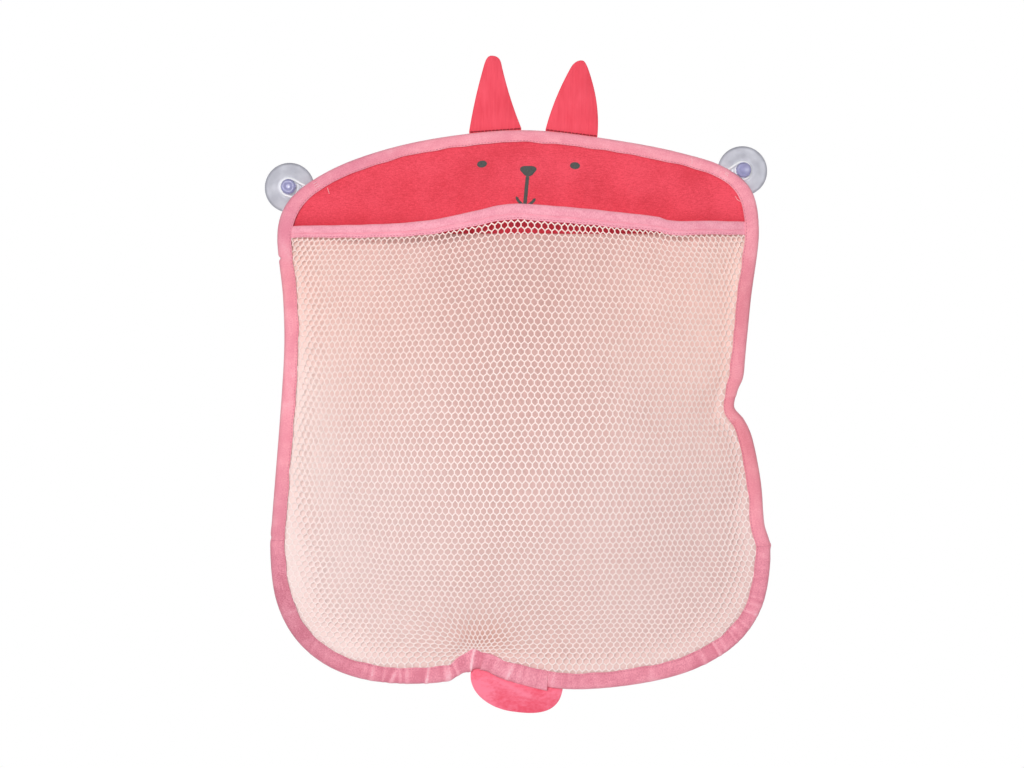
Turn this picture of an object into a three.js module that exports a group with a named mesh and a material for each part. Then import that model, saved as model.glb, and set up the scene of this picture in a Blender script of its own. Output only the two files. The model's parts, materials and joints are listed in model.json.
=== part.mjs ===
// Bath toy organizer: a rabbit-shaped net bag that hangs on a smooth wall from two suction cups.
// Millimetres. +Z is up, the front faces -Y, the wall is the plane y = 0, and the origin lies
// on the wall midway between the cups. Depths count forwards from the wall.
import * as THREE from 'three';

// Bag outline to the outer edge of the binding. Drops count down from the cup line.
const crownRise = 39.8;
const crownShift = 10.8;
const leftShoulder = 190.8;
const rightShoulder = 194;
const leftShoulderDrop = 36.5;
const rightShoulderDrop = 36.2;
const leftRib = 186.8;
const rightRib = 187.6;
const ribDrop = 96;
const leftWaist = 186;
const rightWaist = 183.6;
const waistDrop = 136;
const pinchHalfWidth = 173.6;
const pinchDrop = 179;
const pinchLead = 7.2;
const pinchLeadRise = 18;
const pinchFlare = 11.8;
const pinchFlareDrop = 18;
const leftFlank = 195.6;
const leftFlankDrop = 270;
const rightFlank = 195.4;
const rightFlankDrop = 240;
const rightHipLead = 4.6;
const rightHipLeadRise = 18;
const leftHip = 197.2;
const rightHip = 203.2;
const hipDrop = 294;
const leftFloorDrop = 403.4;
const rightFloorDrop = 407.6;
const leftCornerStart = 81;
const rightCornerStart = 40;
const puckerPlace = -34;
const puckerDrop = 390.2;
const puckerRun = 54;
const puckerLip = 12;
const leftArchFullness = 1.9;
const rightArchFullness = 2.6;
const rightBrowSag = 7.2;
const leftCornerFullness = 2.45;
const rightCornerFullness = 2.62;
const rightFloorSag = -1.8;
const sagSkew = 1.3;

// Cloth, tape and net
const bagStandoff = 9.4;
const tapeThickness = 0.7;
const panelThickness = 0.7;
const netThickness = 0.8;
const clearance = 0.3;
const tapeWidth = 12;
const crownTapeWidth = 10;
const tapeFold = 1.6;
const hemWidth = 10;
const faceOverlap = 4;

// Pocket: a bulging net under a bowed hem
const leftHemDrop = 35.5;
const rightHemDrop = 31.5;
const mouthBow = 32;
const mouthFullness = 0.9;
const bulge = 70;
const bulgeDrop = 228;
const bulgeHalfWidth = 186;
const bulgeHalfHeight = 182;
const bulgeRoundness = 2.4;
const sideSteepness = 1.15;
const floorSteepness = 1.7;
const mouthSteepness = 1.1;
const netSeat = 1.6;
const netRelease = 1.5;
const netColumns = 12;
const netRows = 12;
const strandShare = 0.28;
const cornerShare = 0.02;
const leastOpening = 120;
const footDrop = 352;
// Rise of the hem above the line between its ends, by its share of the way across
const hemRises = [[0, 0], [0.23, 1.4], [0.35, 7], [0.5, 13.2], [0.6, 11.8], [0.79, 3], [0.83, 0.6], [1, 0]];

// Ears, sewn behind the top binding
const earWidth = 42;
const earPad = 1.6;
const earSeamThickness = 1.6;
const earRoot = 8;
const flapTaper = 1;
const earTipHalfWidth = 6;
const earTipSquareness = 0.92;
const earMiddleShare = 0.35;
const earLift = 0.6;
const leftEarPlace = -17;
const leftEarHeight = 58.9;
const leftEarLean = 2.1;
const leftEarBows = [0.9, -1.2];
const rightEarPlace = 44;
const rightEarHeight = 57.2;
const rightEarLean = 0.4;
const rightEarBows = [2.6, 3.2];

// Tail, sewn behind the bottom binding
const tailWidth = 75;
const tailReach = 27;
const tailRoot = 11;
const tailTuck = 1.7;
const tailPlace = 2;
const tailTurn = -8;
const tailFullness = 2.1;

// Suction cups and their cord loops
const cupDiameter = 40;
const cupRim = 2.4;
const cupHollow = 3.2;
const cupSkirt = 0.7;
const neckDiameter = 10;
const headDiameter = 12;
const headHeight = 5.8;
const cordDiameter = 1.8;
const loopRadius = 6.9;
const loopTail = 6.5;
const loopGather = 2.6;
const leftCupDrop = 10.9;
const leftCupReach = 7.8;
const leftLoopTurn = 22;
const rightCupDrop = -3;
const rightCupReach = 6.4;
const rightLoopTurn = 26;

// How finely the round forms are cut
const outlineStations = 120;
const earStations = 60;
const cupFacets = 32;
const cordFacets = 8;
const borderRings = [0.97, 0.93];
const padRings = [1, 0.8, 0.55, 0.28];

// Depths of the layers, from the wall forwards
const hemHalfThickness = netThickness / 2 + clearance + tapeThickness;
const backPanelDepth = bagStandoff + tapeThickness + clearance;
const facePanelDepth = backPanelDepth + panelThickness + clearance;
const netDepth = facePanelDepth + panelThickness + clearance + hemHalfThickness;
const slotFront = netDepth + netThickness / 2 + clearance;
const bindingFront = slotFront + tapeThickness;
const sewnInset = tapeFold + clearance;
const flapDepth = bagStandoff - clearance - earSeamThickness / 2;
const cordDepth = bagStandoff - clearance - cordDiameter / 2;

// A point given by its place across, its height and its depth in front of the wall
function place(across, height, depth) {
  return new THREE.Vector3(across, -depth, height);
}

// A closed solid from points and triangles, turned so that its faces point out
function solidFrom(points, triangles) {
  const corner = new THREE.Vector3();
  let volume = 0;
  for (const [a, b, c] of triangles) {
    volume += points[a].dot(corner.crossVectors(points[b], points[c]));
  }
  const outward = volume > 0 ? triangles : triangles.map(([a, b, c]) => [a, c, b]);
  const geometry = new THREE.BufferGeometry().setFromPoints(points);
  geometry.setIndex(outward.flat());
  geometry.computeVertexNormals();
  return geometry;
}

// A sheet between a front and a back grid of rings, outermost ring first, closed at its middle
function sheetSolid(front, back) {
  const stations = front.rings[0].length;
  const backStart = front.rings.length * stations + 1;
  const points = [...front.rings.flat(), front.middle, ...back.rings.flat(), back.middle];
  const triangles = [];
  front.rings.forEach((ring, depth) => {
    const isInnermost = depth === front.rings.length - 1;
    for (let station = 0; station < stations; station += 1) {
      const a = depth * stations + station;
      const b = depth * stations + ((station + 1) % stations);
      const c = isInnermost ? backStart - 1 : a + stations;
      triangles.push([a, c, b], [backStart + a, backStart + b, backStart + c]);
      if (!isInnermost) {
        const d = b + stations;
        triangles.push([b, c, d], [backStart + b, backStart + d, backStart + c]);
      }
      if (depth === 0) {
        triangles.push([a, b, backStart + a], [b, backStart + b, backStart + a]);
      }
    }
  });
  return solidFrom(points, triangles);
}

// A thin solid from a surface of points and triangles, with a wall along each of its open edges
function shellSolid(points, triangles, thickness) {
  const surface = new THREE.BufferGeometry().setFromPoints(points);
  surface.setIndex(triangles.flat());
  surface.computeVertexNormals();
  const normals = surface.getAttribute('normal');
  const side = (distance) => points.map((point, k) => (
    point.clone().addScaledVector(new THREE.Vector3().fromBufferAttribute(normals, k), distance)));
  const count = points.length;
  const backs = triangles.map(([a, b, c]) => [a + count, c + count, b + count]);
  const edges = new Set(triangles.flatMap(([a, b, c]) => [`${a} ${b}`, `${b} ${c}`, `${c} ${a}`]));
  const walls = [];
  for (const edge of edges) {
    const [a, b] = edge.split(' ').map(Number);
    if (!edges.has(`${b} ${a}`)) {
      walls.push([b, a, a + count], [b, a + count, b + count]);
    }
  }
  return solidFrom([...side(thickness / 2), ...side(-thickness / 2)], [...triangles, ...backs, ...walls]);
}

// A section carried along a path: a closed ring, or a strip with its two ends capped
function sweptSolid(sections, profile, isRing) {
  const size = profile.length;
  const points = sections.flat();
  const triangles = [];
  const spans = isRing ? sections.length : sections.length - 1;
  for (let span = 0; span < spans; span += 1) {
    const here = span * size;
    const there = ((span + 1) % sections.length) * size;
    for (let k = 0; k < size; k += 1) {
      const next = (k + 1) % size;
      triangles.push([here + k, here + next, there + k], [here + next, there + next, there + k]);
    }
  }
  if (!isRing) {
    const turn = Math.sign(THREE.ShapeUtils.area(profile));
    const last = (sections.length - 1) * size;
    for (const cap of THREE.ShapeUtils.triangulateShape(profile, [])) {
      const capTurn = Math.sign(THREE.ShapeUtils.area(cap.map((k) => profile[k])));
      const [a, b, c] = capTurn === turn ? cap : [cap[0], cap[2], cap[1]];
      triangles.push([a, c, b], [last + a, last + b, last + c]);
    }
  }
  return solidFrom(points, triangles);
}

// Points on a quarter of a superellipse: turn 0 is its side point and turn 1 its top or bottom point.
// A sag lowers the stretch between them, and a negative one lifts it.
function roundedQuarter(middleX, middleZ, reachX, reachZ, fullness, turns, sag = 0) {
  return turns.map((turn) => {
    const angle = turn * Math.PI / 2;
    const across = reachX * Math.max(Math.cos(angle), 0) ** (2 / fullness);
    const height = reachZ * Math.sin(angle) ** (2 / fullness);
    const dip = sag * Math.sin(Math.PI * (across / reachX) ** sagSkew);
    return new THREE.Vector3(middleX + across, 0, middleZ + height - dip);
  });
}

// The sewn outline, clockwise from the crown as seen from the front
function makeOutline() {
  const down = [1, 0.8, 0.6, 0.4, 0.2, 0];
  const up = [0, 0.2, 0.4, 0.6, 0.8, 1];
  const puckerSlopeDrop = (puckerDrop + rightFloorDrop) / 2;
  const landmarks = [
    ...roundedQuarter(crownShift, -rightShoulderDrop, rightShoulder - crownShift,
      crownRise + rightShoulderDrop, rightArchFullness, down, rightBrowSag),
    new THREE.Vector3(rightRib, 0, -ribDrop),
    new THREE.Vector3(rightWaist, 0, -waistDrop),
    new THREE.Vector3(pinchHalfWidth + pinchLead, 0, pinchLeadRise - pinchDrop),
    new THREE.Vector3(pinchHalfWidth, 0, -pinchDrop),
    new THREE.Vector3(pinchHalfWidth + pinchFlare, 0, -pinchDrop - pinchFlareDrop),
    new THREE.Vector3(rightFlank, 0, -rightFlankDrop),
    new THREE.Vector3(rightHip - rightHipLead, 0, rightHipLeadRise - hipDrop),
    ...roundedQuarter(rightCornerStart, -hipDrop, rightHip - rightCornerStart,
      hipDrop - rightFloorDrop, rightCornerFullness, up, rightFloorSag),
    new THREE.Vector3(puckerPlace + puckerRun / 2, 0, -puckerSlopeDrop),
    new THREE.Vector3(puckerPlace, 0, -puckerDrop),
    new THREE.Vector3(puckerPlace - puckerLip, 0, -(puckerDrop + 2 * leftFloorDrop) / 3),
    ...roundedQuarter(-leftCornerStart, -hipDrop, leftCornerStart - leftHip,
      hipDrop - leftFloorDrop, leftCornerFullness, down),
    new THREE.Vector3(-leftFlank, 0, -leftFlankDrop),
    new THREE.Vector3(-leftWaist, 0, -waistDrop),
    new THREE.Vector3(-leftRib, 0, -ribDrop),
    ...roundedQuarter(crownShift, -leftShoulderDrop, -leftShoulder - crownShift,
      crownRise + leftShoulderDrop, leftArchFullness, up).slice(0, -1),
  ];
  const curve = new THREE.CatmullRomCurve3(landmarks, true, 'centripetal');
  curve.arcLengthDivisions = 800;
  return curve;
}

const outline = makeOutline();

// A point on the outline, moved in by an inset, with its outward direction
function onOutline(share, inset) {
  const point = outline.getPointAt(share);
  const tangent = outline.getTangentAt(share);
  const outward = new THREE.Vector3(-tangent.z, 0, tangent.x).normalize();
  return { point: point.addScaledVector(outward, -inset), outward };
}

// The number between two others where a measure passes a value
function whereIs(measure, value, low, high) {
  const isRising = measure(high) > measure(low);
  let from = low;
  let to = high;
  for (let step = 0; step < 40; step += 1) {
    const half = (from + to) / 2;
    const isPast = measure(half) > value;
    if (isPast === isRising) {
      to = half;
    } else {
      from = half;
    }
  }
  return (from + to) / 2;
}

// The share of the outline, between two others, where a measure of its points passes a value
function outlineShare(measure, value, low, high) {
  return whereIs((share) => measure(outline.getPointAt(share)), value, low, high);
}

const rightShareAt = (drop) => outlineShare((p) => p.z, -drop, 0, 0.33);
const leftShareAt = (drop) => outlineShare((p) => p.z, -drop, 0.67, 1);

const materials = {
  coral: new THREE.MeshStandardMaterial({ color: 0xeb4c5d, roughness: 0.85 }),
  pink: new THREE.MeshStandardMaterial({ color: 0xf7a3b4, roughness: 0.8 }),
  pale: new THREE.MeshStandardMaterial({ color: 0xf6e5e2, roughness: 0.85 }),
  net: new THREE.MeshStandardMaterial({ color: 0xfbe9e2, roughness: 0.5 }),
  vinyl: new THREE.MeshStandardMaterial({ color: 0xcfd2dc, roughness: 0.15 }),
  cord: new THREE.MeshStandardMaterial({ color: 0xf4f2f4, roughness: 0.6 }),
};

const bag = new THREE.Group();

function addPiece(name, geometry, material) {
  const mesh = new THREE.Mesh(geometry, material);
  mesh.name = name;
  bag.add(mesh);
  return mesh;
}

// A flat panel of cloth with its back face at a depth
function flatPanel(points, backDepth) {
  const shape = new THREE.Shape(points.map((p) => new THREE.Vector2(p.x, p.z)));
  const geometry = new THREE.ExtrudeGeometry(shape, { depth: panelThickness, bevelEnabled: false });
  geometry.rotateX(Math.PI / 2);
  geometry.translate(0, -backDepth, 0);
  return geometry;
}

const stationShares = Array.from({ length: outlineStations }, (unused, k) => k / outlineStations);

// Back panel: the whole outline, held in the fold of the binding
addPiece('back_panel', flatPanel(stationShares.map((share) => onOutline(share, sewnInset).point),
  backPanelDepth), materials.pale);

// Face panel: the coral crown, which ends just below the hem
const faceDrop = Math.max(leftHemDrop, rightHemDrop) + faceOverlap;
const leftFaceEnd = Math.floor(leftShareAt(faceDrop) * outlineStations);
const rightFaceEnd = Math.ceil(rightShareAt(faceDrop) * outlineStations);
const faceShares = [...stationShares.slice(leftFaceEnd), ...stationShares.slice(0, rightFaceEnd + 1)];
addPiece('face_panel', flatPanel(faceShares.map((share) => onOutline(share, sewnInset).point),
  facePanelDepth), materials.coral);

// Edge binding: one tape folded round the edge of every layer, drawn in narrower over the crown
const bindingProfile = [
  [tapeWidth, bagStandoff],
  [tapeFold, bagStandoff],
  [tapeFold / 4, (2 * bagStandoff + bindingFront) / 3],
  [0, (bagStandoff + bindingFront) / 2],
  [tapeFold / 4, (bagStandoff + 2 * bindingFront) / 3],
  [tapeFold, bindingFront],
  [tapeWidth, bindingFront],
  [tapeWidth, slotFront],
  [tapeFold, slotFront],
  [tapeFold, bagStandoff + tapeThickness],
  [tapeWidth, bagStandoff + tapeThickness],
].map(([inset, depth]) => new THREE.Vector2(inset, depth));
const bindingSections = stationShares.map((share) => {
  const onCrown = THREE.MathUtils.smoothstep(outline.getPointAt(share).z, -leftHemDrop / 2, 0);
  const width = THREE.MathUtils.lerp(tapeWidth, crownTapeWidth, onCrown);
  return bindingProfile.map((corner) => {
    const edge = onOutline(share, Math.min(corner.x, width)).point;
    return place(edge.x, edge.z, corner.y);
  });
});
addPiece('edge_binding', sweptSolid(bindingSections, bindingProfile, true), materials.pink);

// Hem line: from binding to binding, rising and bowing forwards to the middle
const hemRiseCurve = new THREE.SplineCurve(hemRises.map(([share, rise]) => new THREE.Vector2(share, rise)));
const hemLeft = onOutline(leftShareAt(leftHemDrop), tapeWidth + 2 * clearance).point;
const hemRight = onOutline(rightShareAt(rightHemDrop), tapeWidth + 2 * clearance).point;
const bowAt = (share) => mouthBow * (4 * share * (1 - share)) ** mouthFullness;

function hemRise(share) {
  return hemRiseCurve.getPoint(whereIs((t) => hemRiseCurve.getPoint(t).x, share, 0, 1)).y;
}

function hemPoint(share) {
  const straight = hemLeft.clone().lerp(hemRight, share);
  return place(straight.x, straight.z + hemRise(share), netDepth + bowAt(share));
}

// Shares of the way over a grid at its ends and at the edges of its openings
function gridLines(count) {
  const edges = Array.from({ length: count }, (unused, k) => [k + strandShare / 2, k + 1 - strandShare / 2]);
  return [0, ...edges.flat().map((edge) => edge / count), 1];
}

const hemShares = gridLines(netColumns);
const hemLine = hemShares.map(hemPoint);

// Hem tape: folded over the top edge of the net
const slotHalf = netThickness / 2 + clearance;
const hemProfile = [
  [hemHalfThickness, -hemWidth],
  [hemHalfThickness, -tapeThickness],
  [slotHalf, 0],
  [-slotHalf, 0],
  [-hemHalfThickness, -tapeThickness],
  [-hemHalfThickness, -hemWidth],
  [-slotHalf, -hemWidth],
  [-slotHalf, -tapeThickness],
  [slotHalf, -tapeThickness],
  [slotHalf, -hemWidth],
].map(([forward, height]) => new THREE.Vector2(forward, height));
const hemSections = hemLine.map((point, k) => {
  const before = hemLine[Math.max(k - 1, 0)];
  const after = hemLine[Math.min(k + 1, hemLine.length - 1)];
  const forward = new THREE.Vector3(after.y - before.y, before.x - after.x, 0).normalize();
  return hemProfile.map((corner) => {
    const offset = point.clone().addScaledVector(forward, corner.x);
    return offset.setZ(point.z + corner.y);
  });
});
addPiece('hem_tape', sweptSolid(hemSections, hemProfile, false), materials.pink);

// Front net: sewn edge and point of release at each station round the pocket, from its top right corner
const sewnEdge = [];
const release = [];
const steepness = [];
const pocketTop = hemWidth + netRelease + tapeWidth / 2;
const cornerDrop = hemWidth + 2 * netRelease;
const insideCorners = hemShares.map((share) => THREE.MathUtils.lerp(cornerShare, 1 - cornerShare, share));
const acrossLines = [0, ...insideCorners, 1];
const downLines = gridLines(netRows);
const lastAcross = acrossLines.length - 1;
const lastDown = downLines.length - 1;

function addSideStation(sewn, released) {
  sewnEdge.push(place(sewn.x, sewn.z, netDepth));
  release.push(place(released.x, released.z, netDepth));
  const lowness = THREE.MathUtils.smoothstep(-released.z, bulgeDrop, hipDrop);
  steepness.push(THREE.MathUtils.lerp(sideSteepness, floorSteepness, lowness));
}

function addOutlineStations(from, to, lines) {
  for (const line of lines) {
    const share = THREE.MathUtils.lerp(from, to, line);
    const sewn = onOutline(share, sewnInset + netSeat).point;
    addSideStation(sewn, onOutline(share, tapeWidth + netRelease).point);
  }
}

const rightTop = rightShareAt(rightHemDrop + pocketTop);
const rightFoot = outlineShare((p) => p.z, -footDrop, 0.25, 0.45);
const leftFoot = outlineShare((p) => p.z, -footDrop, 0.55, 0.75);
const leftTop = leftShareAt(leftHemDrop + pocketTop);
addSideStation(
  onOutline(rightShareAt(rightHemDrop + tapeThickness), sewnInset + netSeat).point,
  onOutline(rightShareAt(rightHemDrop + cornerDrop), tapeWidth + netRelease / 2).point,
);
addOutlineStations(rightTop, rightFoot, downLines.slice(1, -1));
addOutlineStations(rightFoot, leftFoot, acrossLines.slice(0, -1));
addOutlineStations(leftFoot, leftTop, downLines.slice(0, -1));
addSideStation(
  onOutline(leftShareAt(leftHemDrop + tapeThickness), sewnInset + netSeat).point,
  onOutline(leftShareAt(leftHemDrop + cornerDrop), tapeWidth + netRelease / 2).point,
);
hemLine.forEach((point, k) => {
  sewnEdge.push(point.clone().setZ(point.z - tapeThickness - clearance));
  release.push(point.clone().setZ(point.z - hemWidth - netRelease));
  const bowed = Math.sqrt(bowAt(hemShares[k]) / mouthBow);
  steepness.push(THREE.MathUtils.lerp(sideSteepness, mouthSteepness, bowed));
});
const stations = release.length;

// The station of a place on the border of the grid, by its lines across from the left and down from the hem
function borderStation(across, down) {
  if (across === lastAcross && down < lastDown) {
    return down;
  }
  if (down === lastDown && across > 0) {
    return lastDown + lastAcross - across;
  }
  return across === 0 ? 2 * lastDown + lastAcross - down : 2 * lastDown + lastAcross + across;
}

// The bulge: oval near its middle, and more like the sewn edge towards the edge
const pocketMiddle = place(0, -bulgeDrop, netDepth + bulge);
const ovalShare = (x, z) => 1 / Math.hypot(x / bulgeHalfWidth, z / bulgeHalfHeight);
const reachAt = (size, oval) => size * THREE.MathUtils.lerp(oval, 1, size ** 2);

function bulgeDepth(size, steep, edgeDepth) {
  const swell = bulge * (1 - size ** bulgeRoundness) ** steep;
  return netDepth + swell + (edgeDepth - netDepth) * size ** 2;
}

const bulgeRing = (size) => release.map((edge, k) => {
  const toX = edge.x - pocketMiddle.x;
  const toZ = edge.z - pocketMiddle.z;
  const reach = reachAt(size, ovalShare(toX, toZ));
  const depth = bulgeDepth(size, steepness[k], -edge.y);
  return place(pocketMiddle.x + reach * toX, pocketMiddle.z + reach * toZ, depth);
});

// The point of the bulge over a place on the front, between the two stations that it lies between
function onBulge(x, z) {
  const toX = x - pocketMiddle.x;
  const toZ = z - pocketMiddle.z;
  const aside = (edge) => (edge.x - pocketMiddle.x) * toZ - (edge.z - pocketMiddle.z) * toX;
  const isAhead = (edge) => (edge.x - pocketMiddle.x) * toX + (edge.z - pocketMiddle.z) * toZ > 0;
  const from = release.findIndex((edge, k) => {
    const next = release[(k + 1) % stations];
    return isAhead(edge) && aside(edge) >= 0 !== aside(next) >= 0;
  });
  const to = (from + 1) % stations;
  const part = aside(release[from]) / (aside(release[from]) - aside(release[to]));
  const edge = release[from].clone().lerp(release[to], part);
  const steep = THREE.MathUtils.lerp(steepness[from], steepness[to], part);
  const edgeX = edge.x - pocketMiddle.x;
  const edgeZ = edge.z - pocketMiddle.z;
  const share = Math.hypot(toX, toZ) / Math.hypot(edgeX, edgeZ);
  const oval = ovalShare(edgeX, edgeZ);
  const size = whereIs((trial) => reachAt(trial, oval), share, 0, 1);
  return place(x, z, bulgeDepth(size, steep, -edge.y));
}

// Border rings, from the sewn edge to the ring that carries the grid
const netRings = [sewnEdge, release, ...borderRings.map(bulgeRing)];
const netPoints = netRings.flat();
const netTriangles = [];
for (let ring = 1; ring < netRings.length; ring += 1) {
  for (let k = 0; k < stations; k += 1) {
    const a = (ring - 1) * stations + k;
    const b = (ring - 1) * stations + ((k + 1) % stations);
    netTriangles.push([a, a + stations, b], [b, a + stations, b + stations]);
  }
}

// Grid lines between the sides of the innermost ring, laid on the bulge
const gridRing = netRings[netRings.length - 1];
const borderPoint = (across, down) => gridRing[borderStation(across, down)];

function gridPlace(across, down) {
  const u = acrossLines[across];
  const v = downLines[down];
  const sum = new THREE.Vector3();
  sum.addScaledVector(borderPoint(across, 0), 1 - v);
  sum.addScaledVector(borderPoint(across, lastDown), v);
  sum.addScaledVector(borderPoint(0, down), 1 - u);
  sum.addScaledVector(borderPoint(lastAcross, down), u);
  sum.addScaledVector(borderPoint(0, 0), -(1 - u) * (1 - v));
  sum.addScaledVector(borderPoint(lastAcross, 0), -u * (1 - v));
  sum.addScaledVector(borderPoint(0, lastDown), -(1 - u) * v);
  sum.addScaledVector(borderPoint(lastAcross, lastDown), -u * v);
  return onBulge(sum.x, sum.z);
}

const gridIndex = acrossLines.map((unused, across) => downLines.map((alsoUnused, down) => {
  if (across === 0 || across === lastAcross || down === 0 || down === lastDown) {
    return (netRings.length - 1) * stations + borderStation(across, down);
  }
  netPoints.push(gridPlace(across, down));
  return netPoints.length - 1;
}));

// The cells of the grid: every other one each way is an opening, unless a corner squeezes it
for (let across = 0; across < lastAcross; across += 1) {
  for (let down = 0; down < lastDown; down += 1) {
    const a = gridIndex[across][down];
    const b = gridIndex[across + 1][down];
    const c = gridIndex[across + 1][down + 1];
    const d = gridIndex[across][down + 1];
    const flat = [a, b, c, d].map((k) => new THREE.Vector2(netPoints[k].x, netPoints[k].z));
    const isLarge = Math.abs(THREE.ShapeUtils.area(flat)) > leastOpening;
    const isOpening = across > 0 && across % 2 === 0 && across < lastAcross - 1 && down % 2 === 1;
    if (!(isOpening && isLarge)) {
      netTriangles.push(...(across < lastAcross / 2 ? [[a, d, b], [b, d, c]] : [[a, d, c], [a, c, b]]));
    }
  }
}
addPiece('front_net', shellSolid(netPoints, netTriangles, netThickness), materials.net);

// A padded flap: thin where it is sewn, fuller away from its seam line along local z = 0
function flapSolid(edge, middleHeight, clearOfSeam) {
  const middle = new THREE.Vector3(0, 0, middleHeight);
  const half = (point, size) => {
    const away = THREE.MathUtils.smoothstep(Math.abs(point.z), clearOfSeam, 3 * clearOfSeam);
    return earSeamThickness / 2 + away * (earPad / 2) * (1 - size ** 2);
  };
  const side = (sign) => ({
    rings: padRings.map((size) => edge.map((p) => {
      const point = middle.clone().lerp(new THREE.Vector3(p.x, 0, p.y), size);
      return point.setY(sign * half(point, size));
    })),
    middle: middle.clone().setY(sign * half(middle, 0)),
  });
  return sheetSolid(side(-1), side(1));
}

// Ear: straight seam, bowed sides, a narrow round tip and a root that tucks down behind the binding
function addEar(name, share, height, lean, bows) {
  const shape = new THREE.Shape();
  const shoulder = height - earTipHalfWidth;
  shape.moveTo(flapTaper - earWidth / 2, -earRoot);
  shape.lineTo(-earWidth / 2, 0);
  shape.quadraticCurveTo((lean - earTipHalfWidth - earWidth / 2) / 2 - 2 * bows[0], shoulder / 2,
    lean - earTipHalfWidth, shoulder);
  shape.quadraticCurveTo(lean - earTipHalfWidth * earTipSquareness, height, lean, height);
  shape.quadraticCurveTo(lean + earTipHalfWidth * earTipSquareness, height, lean + earTipHalfWidth, shoulder);
  shape.quadraticCurveTo((lean + earTipHalfWidth + earWidth / 2) / 2 + 2 * bows[1], shoulder / 2,
    earWidth / 2, 0);
  shape.lineTo(earWidth / 2 - flapTaper, -earRoot);
  const edge = shape.getSpacedPoints(earStations).slice(0, -1);
  const ear = addPiece(name, flapSolid(edge, height * earMiddleShare, earRoot), materials.coral);
  const seam = onOutline(share, -earLift - earSeamThickness / 2);
  ear.position.copy(place(seam.point.x, seam.point.z, flapDepth));
  ear.rotation.y = Math.atan2(seam.outward.x, seam.outward.z);
}

const leftEarShare = outlineShare((p) => p.x, leftEarPlace, 0.9, 1);
const rightEarShare = outlineShare((p) => p.x, rightEarPlace, 0, 0.1);
addEar('left_ear', leftEarShare, leftEarHeight, leftEarLean, leftEarBows);
addEar('right_ear', rightEarShare, rightEarHeight, rightEarLean, rightEarBows);

// Tail: a half oval that hangs from a seam behind the bottom binding
const tailLength = tailReach + tailRoot;
const tailTurns = Array.from({ length: 9 }, (unused, k) => k / 8);
const tailEdge = [
  ...roundedQuarter(0, -tailRoot, tailWidth / 2, -tailReach, tailFullness, tailTurns),
  ...roundedQuarter(0, -tailRoot, -tailWidth / 2, -tailReach, tailFullness, tailTurns).reverse().slice(1),
  new THREE.Vector3(flapTaper - tailWidth / 2, 0, 0),
  new THREE.Vector3(0, 0, 0),
  new THREE.Vector3(tailWidth / 2 - flapTaper, 0, 0),
].map((p) => new THREE.Vector2(p.x, p.z));
const tail = addPiece('tail', flapSolid(tailEdge, -tailLength / 2, tailRoot), materials.coral);
const tailFoot = onOutline(outlineShare((p) => p.x, tailPlace, 0.45, 0.6), 0).point;
tail.position.copy(place(tailFoot.x, tailFoot.z + tailRoot + tailTuck, flapDepth));
tail.rotation.y = THREE.MathUtils.degToRad(-tailTurn);

// Suction cup: hollow disc with a flat rim, a neck for the cord and a round head
const shoulderDepth = cordDepth - cordDiameter / 2 - clearance;
const headDepth = cordDepth + cordDiameter / 2 + clearance;
const cupRadius = cupDiameter / 2;
const neckRadius = neckDiameter / 2;
const headRadius = headDiameter / 2;
const collarRadius = loopRadius + cordDiameter;
const hollowRadius = cupRadius - cupRim;
const cupProfile = [
  [0, cupHollow],
  [hollowRadius * 0.5, cupHollow * 0.9],
  [hollowRadius * 0.82, cupHollow * 0.5],
  [hollowRadius, 0],
  [cupRadius, 0],
  [cupRadius, cupSkirt],
  [(cupRadius * 2 + collarRadius) / 3, cupSkirt + (shoulderDepth - cupSkirt) * 0.42],
  [(cupRadius + collarRadius * 2) / 3, cupSkirt + (shoulderDepth - cupSkirt) * 0.78],
  [collarRadius, shoulderDepth],
  [neckRadius, shoulderDepth],
  [neckRadius, headDepth],
  [headRadius, headDepth + clearance],
  [headRadius, headDepth + headHeight * 0.6],
  [headRadius * 0.85, headDepth + headHeight * 0.88],
  [headRadius * 0.5, headDepth + headHeight],
  [0, headDepth + headHeight],
].map(([radius, depth]) => new THREE.Vector2(radius, -depth)).reverse();

// Cord loop: round the cup's neck and back to its seam behind the binding
function loopGeometry(reach) {
  const slack = loopRadius - neckRadius - clearance - cordDiameter / 2;
  const round = [75, 110, 145, 180, 215, 250, 285].map((degrees) => {
    const angle = THREE.MathUtils.degToRad(degrees);
    return new THREE.Vector3(slack + loopRadius * Math.cos(angle), 0, loopRadius * Math.sin(angle));
  });
  const legHeight = (round[0].z + loopGather) / 2;
  const legReach = (round[0].x + reach) / 2;
  const path = new THREE.CatmullRomCurve3([
    new THREE.Vector3(reach, 0, loopGather),
    new THREE.Vector3(legReach, 0, legHeight),
    ...round,
    new THREE.Vector3(legReach, 0, -legHeight),
    new THREE.Vector3(reach, 0, -loopGather),
  ], false, 'centripetal');
  const section = new THREE.Shape();
  for (let k = 0; k < cordFacets; k += 1) {
    const angle = 2 * Math.PI * k / cordFacets;
    const corner = [Math.cos(angle) * cordDiameter / 2, Math.sin(angle) * cordDiameter / 2];
    if (k === 0) {
      section.moveTo(...corner);
    } else {
      section.lineTo(...corner);
    }
  }
  return new THREE.ExtrudeGeometry(section, { steps: 30, extrudePath: path });
}

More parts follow.
